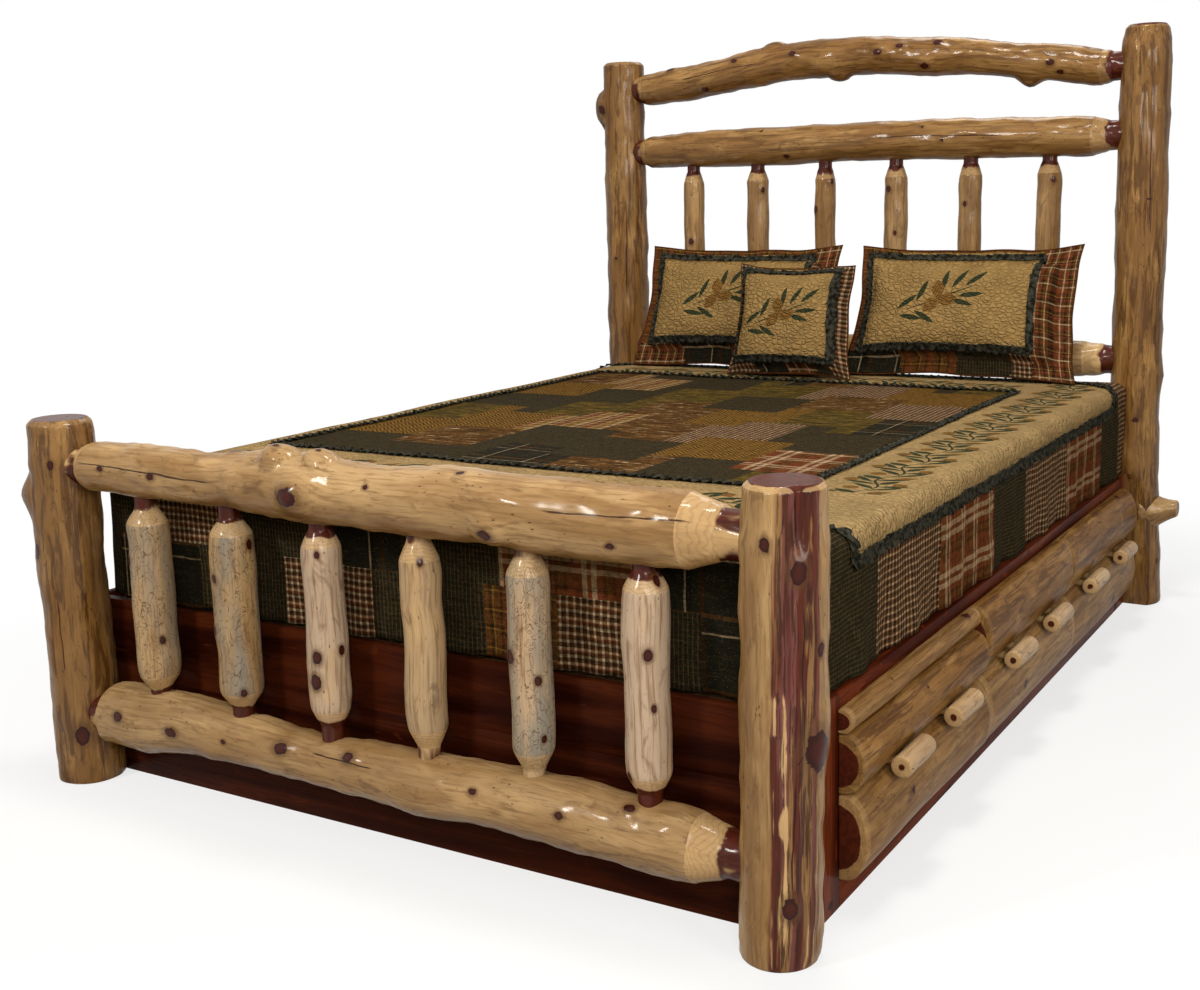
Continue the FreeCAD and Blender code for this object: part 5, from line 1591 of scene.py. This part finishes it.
def drape(across, along, lift=0.0):
    """Where a point of the flat quilt lies on the made bed, and the way that it faces."""
    sizes = settings()[0]
    x = min(max(across, -TOP_HALF), TOP_HALF)
    y = max(along, -TOP_FOOT)
    beyond = min(max(abs(across) - TOP_HALF, -TOP_FOOT - along, 0.0), DROP_RUN)
    run = y if abs(across) - TOP_HALF > -TOP_FOOT - along else x + 5
    x, y, way = corner_shape(x, y)
    sag = 0.0022 * noise.noise(Vector((across * 3.2, along * 3.2, 0.7)))
    sag += 0.0013 * noise.noise(Vector((across * 9.5, along * 9.5, 4.1)))
    if beyond == 0:
        return Vector((x, y, QUILT_TOP - 0.002 + sag + lift)), Vector((0, 0, 1))
    turn = min(beyond / QUILT_EDGE, math.pi / 2)
    out = QUILT_EDGE * math.sin(turn)
    down = QUILT_EDGE * (1 - math.cos(turn)) + max(beyond - EDGE_RUN, 0)
    share = min(down / (QUILT_TOP - QUILT_HEM), 1.0)
    wave = math.sin(run * 2 * math.pi / 0.21 + 2.2 * noise.noise(Vector((run * 2.1, 3.0, 0))))
    wave += 0.5 * math.sin(run * 2 * math.pi / 0.083 + 1.0)
    fold = sizes.quilt_folds * wave * share ** 1.3 * 0.62
    fold += 0.004 * share * noise.noise(Vector((run * 5.0, down * 7.0, 2.0)))
    facing = way * math.sin(turn) + Vector((0, 0, math.cos(turn)))
    ripple = 0.0022 * noise.noise(Vector((run * 14.0, down * 16.0, 8.0))) * min(1.0, down / 0.03)
    place = Vector((x, y, QUILT_TOP - 0.002 + sag * (1 - share))) + way * (out + fold + ripple)
    place.z -= down
    return place + facing * lift, facing


# Edges of the patchwork and of the tan border on the flat quilt: left, right, foot, head
INNER = (-0.690, 0.560, -0.600, 0.766)
BORDER = (-0.942, 0.812, -0.852, 0.960)
BORDER_BEND = 0.700
# Patches along the sides and across the foot: where each starts, and its cloth
SIDE_PATCHES = (
    (-9, "green_print"), (-0.742, "brown_check"), (-0.436, "red_plaid"), (-0.121, "green_print"),
    (0.101, "brown_check"), (0.421, "red_plaid"), (0.752, "green_print"), (0.930, "brown_check"),
)
FOOT_PATCHES = (
    (-9, "window_plaid"), (-0.870, "green_print"), (-0.640, "brown_check"), (-0.390, "green_print"),
    (-0.180, "window_plaid"), (0.010, "green_print"), (0.215, "red_plaid"), (0.520, "window_plaid"),
    (0.700, "green_print"),
)
LOWER_FOOT_PATCHES = (
    (-9, "green_print"), (-0.700, "window_plaid"), (-0.480, "green_print"), (-0.260, "brown_check"),
    (-0.060, "green_print"), (0.180, "brown_stripe"), (0.330, "brown_check"), (0.470, "green_print"),
    (0.600, "window_plaid"),
)
# Patches of the middle, row by row from the foot
INNER_PATCHES = (
    ("green_print", "green_print", "window_plaid", "umber_streak", "green_print", "moss_streak"),
    ("gold_zigzag", "umber_streak", "green_print", "green_print", "gold_zigzag", "red_plaid"),
    ("moss_streak", "gold_zigzag", "cream_plaid", "umber_streak", "brown_check", "green_print"),
    ("green_print", "moss_streak", "umber_streak", "gold_zigzag", "moss_streak", "window_plaid"),
    ("gold_zigzag", "green_print", "moss_streak", "green_print", "umber_streak", "brown_check"),
    ("umber_streak", "cream_plaid", "green_print", "moss_streak", "brown_check", "gold_zigzag"),
)


def last_before(patches, place):
    """The patch that covers a place along a row."""
    return [patch for start, patch in patches if place >= start][-1]


def patch_at(across, along):
    """The cloth of the quilt at one flat place."""
    left, right, foot, head = INNER
    if left <= across <= right and foot <= along <= head:
        row = (along - foot) / (head - foot) * 6
        column = (across - left) / (right - left) * 6
        row += 0.35 * (int(column) % 2)
        column += 0.30 * ((int(row) % 3) - 1)
        return INNER_PATCHES[int(row) % 6][int(min(max(column, 0), 5.99))]
    left, right, foot, head = BORDER
    if left <= across <= right and foot <= along <= head - max(abs(across) - BORDER_BEND, 0.0):
        return "tan_border"
    if along < foot and abs(across) < TOP_HALF + 0.001:
        return last_before(FOOT_PATCHES if along > -1.125 else LOWER_FOOT_PATCHES, across)
    return last_before(SIDE_PATCHES, along)


def border_spray():
    """Leaves and berries of one repeat of the printed vine."""
    pieces = []
    for x, y, angle in (
        (-0.046, 0.024, 44), (-0.022, 0.030, 74), (-0.026, -0.026, -50), (0.004, -0.030, -78),
        (0.012, 0.026, 48), (0.040, 0.028, 70), (0.034, -0.026, -46), (0.056, -0.022, -70),
    ):
        pieces.append(("leaf", (x, y), angle, 0.064, 0.0170))
    for x, y, angle in ((-0.004, 0.044, 60), (-0.046, -0.042, 110), (0.026, -0.046, 60), (0.060, 0.040, 70)):
        pieces.append(("berry", (x, y), angle, 0.040, 0.026))
    pieces.append(("leaf", (0.0, 0.000), 0, 0.190, 0.0065))
    return pieces


class LOGBED_OT_quilt(bpy.types.Operator):
    """Model the patchwork quilt, draped over the mattress"""
    bl_idname = "log_bed.quilt"
    bl_label = "Quilt"

    def execute(self, context):
        cloths = quilt_cloths()
        cloths["tan_border"] = known("tan_border", lambda name: tan_finish(
            name, border_spray(), 0.136, 0.17, (0.87, 0.85, 0.81)))
        names = list(cloths)
        clear_choice()
        columns = round(TOP_HALF * 2 / CELL)
        rows = round((QUILT_HEAD + TOP_FOOT) / CELL)
        bpy.ops.mesh.primitive_grid_add(
            x_subdivisions=columns, y_subdivisions=rows, size=1,
            location=(0, (QUILT_HEAD - TOP_FOOT) / 2, 0), calc_uvs=False)
        quilt = bpy.context.object
        quilt.name = "patchwork_quilt"
        quilt.scale = (TOP_HALF * 2, QUILT_HEAD + TOP_FOOT, 1)
        settle(quilt)
        steps = round(DROP_RUN / CELL)
        pick_edges(quilt, lambda first, second: (
            min(abs(first.x), abs(second.x)) > TOP_HALF - 1e-4 or max(first.y, second.y) < -TOP_FOOT + 1e-4))
        for _ in range(steps):
            bpy.ops.mesh.extrude_region_move(TRANSFORM_OT_translate={"value": (0, 0, -DROP_RUN / steps)})
        end_edit()
        flat = points_of(quilt)
        shaped = [drape(*laid_flat(point, over_foot(point)))[0] for point in flat]
        mesh = quilt.data
        mesh.attributes.new("border_place", "FLOAT_VECTOR", "CORNER")
        mesh.uv_layers.new(name="cloth")
        layer = mesh.uv_layers["cloth"]
        border = mesh.attributes["border_place"]
        for face in mesh.polygons:
            centre = flat[list(face.vertices)].mean(0)
            at_foot = over_foot(centre)
            middle = laid_flat(centre, at_foot)
            face.material_index = names.index(patch_at(*middle))
            for corner in face.loop_indices:
                place = laid_flat(flat[mesh.loops[corner].vertex_index], at_foot)
                layer.data[corner].uv = place
                border.data[corner].vector = border_place(place, middle)
        move_points(quilt, shaped)
        apply_modifier(quilt, "SOLIDIFY", thickness=QUILT_THICKNESS, offset=-1)
        dress(quilt, "bed", [cloths[name] for name in names], ("quilt",))
        left, right, foot, head = INNER
        ruffles = [ruffle(
            "inner_ruffle", [(left, foot), (right, foot), (right, head), (left, head), (left, foot)], 0.8)]
        left, right, foot, head = BORDER
        ruffles.append(ruffle("outer_ruffle", [
            (-BORDER_BEND, head), (left, 0.720), (left, foot), (right, foot), (right, 0.850),
            (BORDER_BEND, head), (-BORDER_BEND, head)], 1.0))
        dress(join_all(ruffles, "quilt_ruffles"), "bed", [known("dark_ruffle", ruffle_finish)])
        return {"FINISHED"}


def over_foot(point):
    """Whether a point of the drawn quilt hangs at the foot of the bed."""
    x, y, z = point
    return z < -1e-6 and y < -TOP_FOOT + 1e-4 and abs(x) < TOP_HALF - 1e-4


def laid_flat(point, at_foot):
    """Place on the flat quilt of a point that is drawn straight down from an edge of the top."""
    x, y, z = point
    return (x, y + z) if at_foot else (math.copysign(abs(x) - z, x), y)


def border_place(place, middle):
    """Place along and across the tan border, for its printed vine."""
    x, y = place
    left, right, foot, head = INNER
    if not left <= middle[0] <= right and middle[1] < foot + 0.03:
        return 0.068, FAR, 0
    if middle[0] > right - 0.02 and middle[1] > foot:
        return y, x - (right + QUILT_SIDE) / 2, 0
    if middle[0] < left + 0.02 and middle[1] > foot:
        return y, x + 0.800, 0
    if middle[1] > head:
        return x, y - 0.850, 0
    return x, y - (foot + BORDER[2]) / 2, 0


def stations_along(corners):
    """Close places along a line with corners, each with the way of the line there."""
    stations = []
    for (x0, y0), (x1, y1) in zip(corners, corners[1:]):
        length = math.hypot(x1 - x0, y1 - y0)
        way = ((x1 - x0) / length, (y1 - y0) / length)
        count = int(length / RUFFLE_STEP)
        for step in range(count):
            share = step / count
            stations.append((x0 + (x1 - x0) * share, y0 + (y1 - y0) * share, *way))
    return stations


def ruffle(name, corners, size):
    """A narrow gathered strip along a line of the flat quilt."""
    return gathered_strip(name, stations_along(corners), settings()[0].ruffle_width * size, drape)


def gathered_strip(name, stations, width, lay):
    """A strip with a wavy upright frill on each side of its seam, laid by the given mapping."""
    clear_choice()
    lanes = 7
    bpy.ops.mesh.primitive_grid_add(x_subdivisions=len(stations) - 1, y_subdivisions=lanes - 1, size=1)
    strip = bpy.context.object
    strip.name = name
    grid = points_of(strip)
    column = np.round((grid[:, 0] + 0.5) * (len(stations) - 1)).astype(int)
    lane = np.round((grid[:, 1] + 0.5) * (lanes - 1)).astype(int)
    points = np.zeros_like(grid)
    for index in range(len(grid)):
        x, y, way_x, way_y = stations[column[index]]
        off = (lane[index] / (lanes - 1) - 0.5) * 2
        run = column[index] * RUFFLE_STEP
        flutter = math.sin(run * 2 * math.pi / 0.021 + 4.0 * noise.noise(Vector((run * 17.0, 0.4, 0))))
        ragged = noise.noise(Vector((run * 95.0, off * 3.0, 1.7)))
        swing = noise.noise(Vector((run * 26.0, 2.0 if off > 0 else 7.0, 3.3)))
        spread = width / 2 * off * (0.84 + 0.22 * ragged + 0.24 * swing)
        sway = 0.0038 * flutter * off
        height = 0.0012 + 0.0058 * abs(off) * (0.55 + 0.45 * flutter * (1 if off > 0 else -1))
        height += 0.0024 * ragged * abs(off)
        place, facing = lay(x - way_y * spread + way_x * sway, y + way_x * spread + way_y * sway)
        points[index] = place + facing * (height + 0.0008)
    move_points(strip, points)
    apply_modifier(strip, "SOLIDIFY", thickness=0.0009, offset=0)
    return strip


PILLOWS = (
    # name, node, width, height, front crown, back crown, flange, lean, place across, place along
    ("right_sham", "sham_right", 0.622, 0.372, 0.074, 0.044, 0.046, 18, 0.336, 0.938),
    ("left_sham", "sham_left", 0.622, 0.372, 0.074, 0.044, 0.046, 18, -0.350, 0.938),
    ("accent_cushion", "accent_pillow", 0.350, 0.318, 0.062, 0.040, 0.012, 13, -0.112, 0.832),
)
# Tan panel on each pillow face: left, right, bottom, top
PILLOW_PANELS = {
    "right_sham": (-0.285, 0.212, 0.070, 0.350),
    "left_sham": (-0.276, 0.235, 0.070, 0.346),
    "accent_cushion": (-0.152, 0.140, 0.040, 0.302),
}
# Cloths round each panel: on its right, then below it from left to right, then above and left
PILLOW_EDGES = {
    "right_sham": (
        "small_plaid", ("window_plaid", "brown_stripe", "green_print", "brown_check"), "brown_stripe"),
    "left_sham": (
        "small_plaid", ("small_plaid", "window_plaid", "brown_stripe", "red_plaid"), "brown_stripe"),
    "accent_cushion": (
        "brown_check", ("brown_check", "window_plaid", "small_plaid", "green_print"), "brown_check"),
}


def edge_cloth(name, x, y, width):
    """The cloth of a pillow outside its tan panel."""
    _, right, bottom, _ = PILLOW_PANELS[name]
    beside, below, above = PILLOW_EDGES[name]
    if x > right:
        return beside
    if y < bottom:
        return below[min(int((x / width + 0.5) * 4), 3)]
    return above


def crown_at(x, y, width, height, margin, crown):
    """Depth of a cushion face at one place of its outline."""
    u = min(abs(x) / (width / 2 - margin), 1.0)
    v = min(abs(y - height / 2) / (height / 2 - margin), 1.0)
    return crown * ((1 - u ** 3.2) * (1 - v ** 3.0)) ** 0.42


def pillow_spray(scale, x, y):
    """Leaves and buds of the printed spray on a pillow face."""
    pieces = [("leaf", (x, y), 22, 0.255 * scale, 0.0050 * scale)]
    for dx, dy, angle in (
        (-0.104, -0.016, 38), (-0.088, -0.064, -8), (-0.060, 0.020, 66), (-0.046, -0.062, -30),
        (0.006, 0.056, 84), (0.050, 0.062, 58), (0.088, 0.010, 6), (0.098, 0.062, 40), (0.062, -0.014, -16),
    ):
        pieces.append(("leaf", (x + dx * scale, y + dy * scale), angle, 0.078 * scale, 0.017 * scale))
    for dx, dy, angle in ((-0.030, -0.024, 50), (0.018, -0.006, 12), (-0.012, 0.026, 96)):
        pieces.append(("berry", (x + dx * scale, y + dy * scale), angle, 0.062 * scale, 0.040 * scale))
    return pieces


class LOGBED_OT_pillows(bpy.types.Operator):
    """Model the two shams and the small cushion"""
    bl_idname = "log_bed.pillows"
    bl_label = "Pillows"

    def execute(self, context):
        cloths = quilt_cloths()
        rust = known("rust_piping", lambda label: cloth_finish(label, lambda finish, flat: finish.mix(
            finish.noise(flat, 300.0, 2.0), settings()[1].rust, settings()[1].brown)))
        for name, node, width, height, front, back, flange, lean, side, seat in PILLOWS:
            panel = PILLOW_PANELS[name]
            middle = ((panel[0] + panel[1]) / 2, (panel[2] + panel[3]) / 2)
            slot, scale = ("accent_cloth", 0.88) if name == "accent_cushion" else ("sham_cloth", 0.95)
            face = known(name + "_face", lambda label: tan_finish(
                label, pillow_spray(scale, *middle), shade=(0.75, 0.68, 0.53)))
            pillow = stuffed_cushion(name, width, height, front, back, flange)
            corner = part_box(node)[0]
            turn = Matrix.Rotation(math.radians(90 - lean), 4, "X")
            frame_of = Matrix.Translation((side, seat, corner.z + 0.001)) @ turn
            names = [*cloths, "tan_panel"]
            flat = points_of(pillow)
            for polygon in pillow.data.polygons:
                x, y, _ = flat[list(polygon.vertices)].mean(0)
                in_panel = polygon.normal.z > 0 and panel[0] < x < panel[1] and panel[2] < y < panel[3]
                cloth = "tan_panel" if in_panel else edge_cloth(name, x, y, width)
                polygon.material_index = names.index(cloth)
            puff(pillow, width, height, flange)
            ruffle_strip = pillow_ruffle(name, pillow, panel, width, height)
            piping = pillow_piping(name, width, height)
            for piece in (pillow, ruffle_strip, piping):
                piece.matrix_world = frame_of
                settle(piece)
            dress(pillow, "bed", [*cloths.values(), face], (node,))
            dress(ruffle_strip, "bed", [known("dark_ruffle", ruffle_finish)])
            dress(piping, "bed", [rust])
        return {"FINISHED"}


def outline_pull(x, y, width, height):
    """Draw the sides of a cushion in between its corners."""
    u = x / (width / 2)
    v = (y - height / 2) / (height / 2)
    pull = 0.040 * height
    new_x = x - u * pull * (1 - v * v) + u * 0.014 * ((1 - v) / 2) ** 2
    new_y = y - v * pull * (1 - u * u)
    beside = noise.noise(Vector((y * 11.0, width * 5.0 + (3.0 if u > 0 else 8.0), 1.0)))
    above = noise.noise(Vector((x * 8.0, width * 5.0 + (4.0 if v > 0 else 9.0), 2.0)))
    return new_x + 0.0050 * beside * abs(u) ** 3, new_y + 0.0070 * above * abs(v) ** 3


def stuffed_cushion(name, width, height, front, back, margin):
    """A closed cushion in the plane of its seam, crowned on both sides."""
    clear_choice()
    columns, rows = round(width / CUSHION_CELL), round(height / CUSHION_CELL)
    bpy.ops.mesh.primitive_grid_add(
        x_subdivisions=columns, y_subdivisions=rows, size=1, location=(0, height / 2, 0), calc_uvs=False)
    cushion = bpy.context.object
    cushion.name = name
    cushion.scale = (width, height, 1)
    settle(cushion)
    start_edit()
    bpy.ops.mesh.select_all(action="SELECT")
    bpy.ops.mesh.extrude_region_move(TRANSFORM_OT_translate={"value": (0, 0, -0.004)})
    end_edit()
    outward(cushion)
    flat = points_of(cushion)
    layer = cushion.data.uv_layers.new(name="cloth")
    for corner in cushion.data.loops:
        x, y, _ = flat[corner.vertex_index]
        layer.data[corner.index].uv = (x, y)
    shaped = flat.copy()
    seed = len(name) * 1.7
    for index, (x, y, z) in enumerate(flat):
        front_side = z > -0.002
        depth = crown_at(x, y, width, height, margin, front if front_side else back)
        crease = noise.noise(Vector((x * 13.0 + seed, y * 13.0, 1.0 if front_side else 5.0)))
        fine = noise.noise(Vector((x * 34.0 + seed, y * 34.0, 2.0)))
        edge = min(width / 2 - abs(x), y, height - y)
        soft = min(max(edge / 0.05, 0.0), 1.0)
        corner_share = (abs(x) / (width / 2)) ** 2 * (abs(y - height / 2) / (height / 2)) ** 2
        fold = math.sin(math.atan2(height / 2 - abs(y - height / 2), width / 2 - abs(x)) * 9.0 + seed)
        if depth > 0.002:
            depth += (crease * 0.0040 + fine * 0.0012 + fold * 0.006 * corner_share) * soft
        flap = 0.009 * noise.noise(Vector((x * 7.0 + seed, y * 7.0, 9.0))) * (1 - soft)
        new_x, new_y = outline_pull(x, y, width, height)
        shaped[index] = (new_x, new_y, (depth + 0.001 if front_side else -depth - 0.002) + flap)
    move_points(cushion, shaped)
    return cushion


def puff(cushion, width, height, margin):
    """Fill the cushion by a short cloth simulation, and limit how far each point may move."""
    choose(cushion)
    modifier = cushion.modifiers.new("Filling", "CLOTH")
    for name, value in (
        ("quality", 5), ("mass", 0.25), ("tension_stiffness", 12), ("compression_stiffness", 12),
        ("shear_stiffness", 6), ("bending_stiffness", 0.35), ("use_pressure", True),
        ("uniform_pressure_force", 4),
    ):
        setattr(modifier.settings, name, value)
    modifier.settings.effector_weights.gravity = 0
    scene = bpy.context.scene
    modifier.point_cache.frame_start = 1
    modifier.point_cache.frame_end = FILLING_STEPS
    for step in range(1, FILLING_STEPS + 1):
        scene.frame_set(step)
    after = points_of(cushion.evaluated_get(bpy.context.evaluated_depsgraph_get()))
    before = points_of(cushion)
    cushion.modifiers.remove(modifier)
    scene.frame_set(1)
    shift = after - before
    length = np.linalg.norm(shift, axis=1)
    cap = np.minimum(1.0, 0.009 / np.maximum(length, 1e-9))
    edge = np.minimum.reduce([
        width / 2 - np.abs(before[:, 0]), before[:, 1], height - before[:, 1]]) - margin * 0.8
    inside = np.clip(edge / 0.03, 0, 1)
    move_points(cushion, before + shift * (cap * inside)[:, None])


def pillow_ruffle(name, pillow, panel, width, height):
    """The gathered strip round the tan panel of a pillow."""
    left, right, bottom, top = panel
    stations = stations_along([(left, bottom), (right, bottom), (right, top), (left, top), (left, bottom)])
    stations.append(stations[0])
    surface = bvhtree.BVHTree.FromObject(pillow, bpy.context.evaluated_depsgraph_get())

    def lay(x, y):
        new_x, new_y = outline_pull(x, y, width, height)
        place, facing, _, _ = surface.ray_cast(Vector((new_x, new_y, 1)), Vector((0, 0, -1)))
        if place is None:
            raise RuntimeError("the ruffle of %s leaves its pillow" % name)
        return place, facing

    return gathered_strip(name + "_ruffle", stations, settings()[0].ruffle_width * 0.78, lay)


def pillow_piping(name, width, height):
    """The thin corded edge sewn round a pillow."""
    clear_choice()
    bpy.ops.mesh.primitive_torus_add(major_segments=160, minor_segments=8, major_radius=1.0, minor_radius=0.1)
    piping = bpy.context.object
    piping.name = name + "_piping"
    points = points_of(piping)
    radial = np.hypot(points[:, 0], points[:, 1])
    angle = np.arctan2(points[:, 1], points[:, 0])
    seed = len(name) * 1.7
    corners = ((-1, -1), (1, -1), (1, 1), (-1, 1))
    shaped = np.zeros_like(points)
    for index in range(len(points)):
        share = (angle[index] / (2 * math.pi)) % 1.0 * 4
        first, second = corners[int(share) % 4], corners[(int(share) + 1) % 4]
        part = share - int(share)
        u = first[0] + (second[0] - first[0]) * part
        v = first[1] + (second[1] - first[1]) * part
        x, y = outline_pull(u * width / 2, height / 2 + v * height / 2, width, height)
        out = Vector((u, v, 0)).normalized()
        swell = (radial[index] - 1.0) * 0.026
        flap = 0.009 * noise.noise(Vector((u * width / 2 * 7.0 + seed, (v + 1) * height / 2 * 7.0, 9.0)))
        shaped[index] = (x + out.x * swell, y + out.y * swell, points[index, 2] * 0.026 - 0.0005 + flap)
    move_points(piping, shaped)
    piping.data.uv_layers[0].name = "cloth"
    return piping


# Stage
# Lamps: name, place, what each looks at, size, power as a share of the key light's
LAMPS = (
    ("key_lamp", (-1.4, -4.6, 3.5), (0, -0.2, 0.5), 0.70, 1.0),
    ("front_lamp", (2.5, -3.9, 2.3), (0.2, -0.6, 0.4), 1.40, 0.64),
    ("top_lamp", (0.5, -0.6, 4.4), (0, 0, 0.4), 0.80, 0.86),
    ("side_lamp", (4.4, -2.2, 2.2), (0.3, 0, 0.4), 1.60, 0.66),
    ("back_lamp", (-0.6, 3.9, 4.6), (0, 0.9, 0.6), 1.60, 0.42),
)


class LOGBED_OT_stage(bpy.types.Operator):
    """Set the floor, the lamps and the camera"""
    bl_idname = "log_bed.stage"
    bl_label = "Stage"

    def execute(self, context):
        stage = settings()[2]
        clear_choice()
        bpy.ops.mesh.primitive_plane_add(size=stage.floor_size, location=(0, 0, -0.0005))
        floor = settle(bpy.context.object)
        floor.name = "floor"
        floor.data.materials.append(floor_finish("pale_floor"))
        world = bpy.context.scene.world or bpy.data.worlds.new("studio")
        bpy.context.scene.world = world
        pale_world(world)
        for name, place, target, size, share in LAMPS:
            lamp(name, place, target, size, stage.key_power * share)
        place_camera(stage.lens)
        bpy.context.scene.view_settings.view_transform = "Standard"
        return {"FINISHED"}


def seen_share(tree):
    """One for rays from the camera and for those mirrored by gloss or passed by glass."""
    path = tree.nodes.new("ShaderNodeLightPath")
    share = path.outputs["Is Camera Ray"]
    for kind in ("Is Glossy Ray", "Is Transmission Ray"):
        larger = tree.nodes.new("ShaderNodeMath")
        larger.operation = "MAXIMUM"
        tree.links.new(share, larger.inputs[0])
        tree.links.new(path.outputs[kind], larger.inputs[1])
        share = larger.outputs[0]
    return share


def blend_in(tree, share, first, second, target):
    """Wire a blend of two shaders to an output."""
    blend = tree.nodes.new("ShaderNodeMixShader")
    for index, source in enumerate((share, first, second)):
        tree.links.new(source, blend.inputs[index])
    tree.links.new(blend.outputs[0], target)


def floor_finish(name):
    """Pale floor that the camera sees as white, but for the shadow of the bed."""
    finish = Finish(name, roughness=0.9, Specular_IOR_Level=0.0)
    seen = seen_share(finish.tree)
    finish.wire(finish.shader.inputs["Base Color"], finish.mix(seen, (0.26, 0.21, 0.14), (0.80, 0.80, 0.80)))
    shine = finish.add("Emission", {"Color": (1, 1, 1), "Strength": 1.0})
    away = finish.vector("LENGTH", finish.stretch(finish.place(), (1.0, 0.75, 0.0)))
    share = finish.times(seen, finish.plus(0.70, finish.part(away, 0.9, 2.1, 0.30)))
    output = finish.tree.nodes["Material Output"]
    blend_in(finish.tree, share, finish.shader.outputs[0], shine, output.inputs["Surface"])
    return finish.material


def pale_world(world):
    """White to the camera and to mirrored rays, and a soft even light to the bed."""
    world.use_nodes = True
    tree = world.node_tree
    tree.nodes.clear()
    output = tree.nodes.new("ShaderNodeOutputWorld")
    skies = []
    for colour, strength in (((1, 0.930, 0.820, 1), 0.18), ((1, 1, 1, 1), 1.0)):
        sky = tree.nodes.new("ShaderNodeBackground")
        sky.inputs["Color"].default_value = colour
        sky.inputs["Strength"].default_value = strength
        skies.append(sky.outputs[0])
    blend_in(tree, seen_share(tree), *skies, output.inputs["Surface"])


def lamp(name, place, target, size, power):
    """A square soft lamp that looks at a target."""
    light = bpy.data.lights.new(name, "AREA")
    light.shape = "SQUARE"
    light.size = size
    light.energy = power
    light.color = (1.0, 0.955, 0.890)
    piece = bpy.data.objects.new(name, light)
    bpy.context.scene.collection.objects.link(piece)
    piece.location = place
    piece.rotation_mode = "QUATERNION"
    piece.rotation_quaternion = (Vector(target) - Vector(place)).to_track_quat("-Z", "Y")


def place_camera(lens):
    """The camera at the photograph's height and angle."""
    yaw, pitch, roll = math.radians(30.87), math.radians(10.46), math.radians(-1.40)
    back = Vector((math.sin(yaw) * math.cos(pitch), -math.cos(yaw) * math.cos(pitch), math.sin(pitch)))
    right = Vector((math.cos(yaw), math.sin(yaw), 0))
    up = back.cross(right)
    side = math.cos(roll) * right + math.sin(roll) * up
    top = -math.sin(roll) * right + math.cos(roll) * up
    data = bpy.data.cameras.new("view")
    data.lens = lens
    data.sensor_width = 36
    data.shift_x = -0.02725
    data.shift_y = -0.02647
    data.clip_start, data.clip_end = 0.05, 200
    camera = bpy.data.objects.new("view", data)
    bpy.context.scene.collection.objects.link(camera)
    turn = Matrix((side, top, back)).transposed().to_4x4()
    camera.matrix_world = Matrix.Translation((1.6376, -2.9554, 1.1307)) @ turn
    bpy.context.scene.camera = camera


class LOGBED_PT_sidebar(bpy.types.Panel):
    """Lists the steps that build the bed"""
    bl_label = "Log Bed"
    bl_idname = "LOGBED_PT_sidebar"
    bl_space_type = "VIEW_3D"
    bl_region_type = "UI"
    bl_category = "Log Bed"

    def draw(self, context):
        for step in STEPS:
            self.layout.operator(step.bl_idname)
        for group in settings():
            for name in group.bl_rna.properties.keys():
                if name not in ("rna_type", "name"):
                    self.layout.prop(group, name)


STEPS = (
    LOGBED_OT_posts, LOGBED_OT_rails, LOGBED_OT_spindles, LOGBED_OT_case, LOGBED_OT_drawers,
    LOGBED_OT_mattress, LOGBED_OT_quilt, LOGBED_OT_pillows, LOGBED_OT_stage,
)
CLASSES = (LogBedSizes, LogBedColours, LogBedStage, *STEPS, LOGBED_PT_sidebar)


def register():
    """Register the classes and their settings."""
    for item in CLASSES:
        bpy.utils.register_class(item)
    bpy.types.Scene.log_bed_sizes = bpy.props.PointerProperty(type=LogBedSizes)
    bpy.types.Scene.log_bed_colours = bpy.props.PointerProperty(type=LogBedColours)
    bpy.types.Scene.log_bed_stage = bpy.props.PointerProperty(type=LogBedStage)


def unregister():
    """Remove the classes and their settings."""
    del bpy.types.Scene.log_bed_stage
    del bpy.types.Scene.log_bed_colours
    del bpy.types.Scene.log_bed_sizes
    for item in reversed(CLASSES):
        bpy.utils.unregister_class(item)


def main():
    """Build the dressed bed step by step."""
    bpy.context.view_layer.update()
    register()
    for step in STEPS:
        group, _, action = step.bl_idname.partition(".")
        getattr(getattr(bpy.ops, group), action)()


if __name__ == "__main__":
    main()
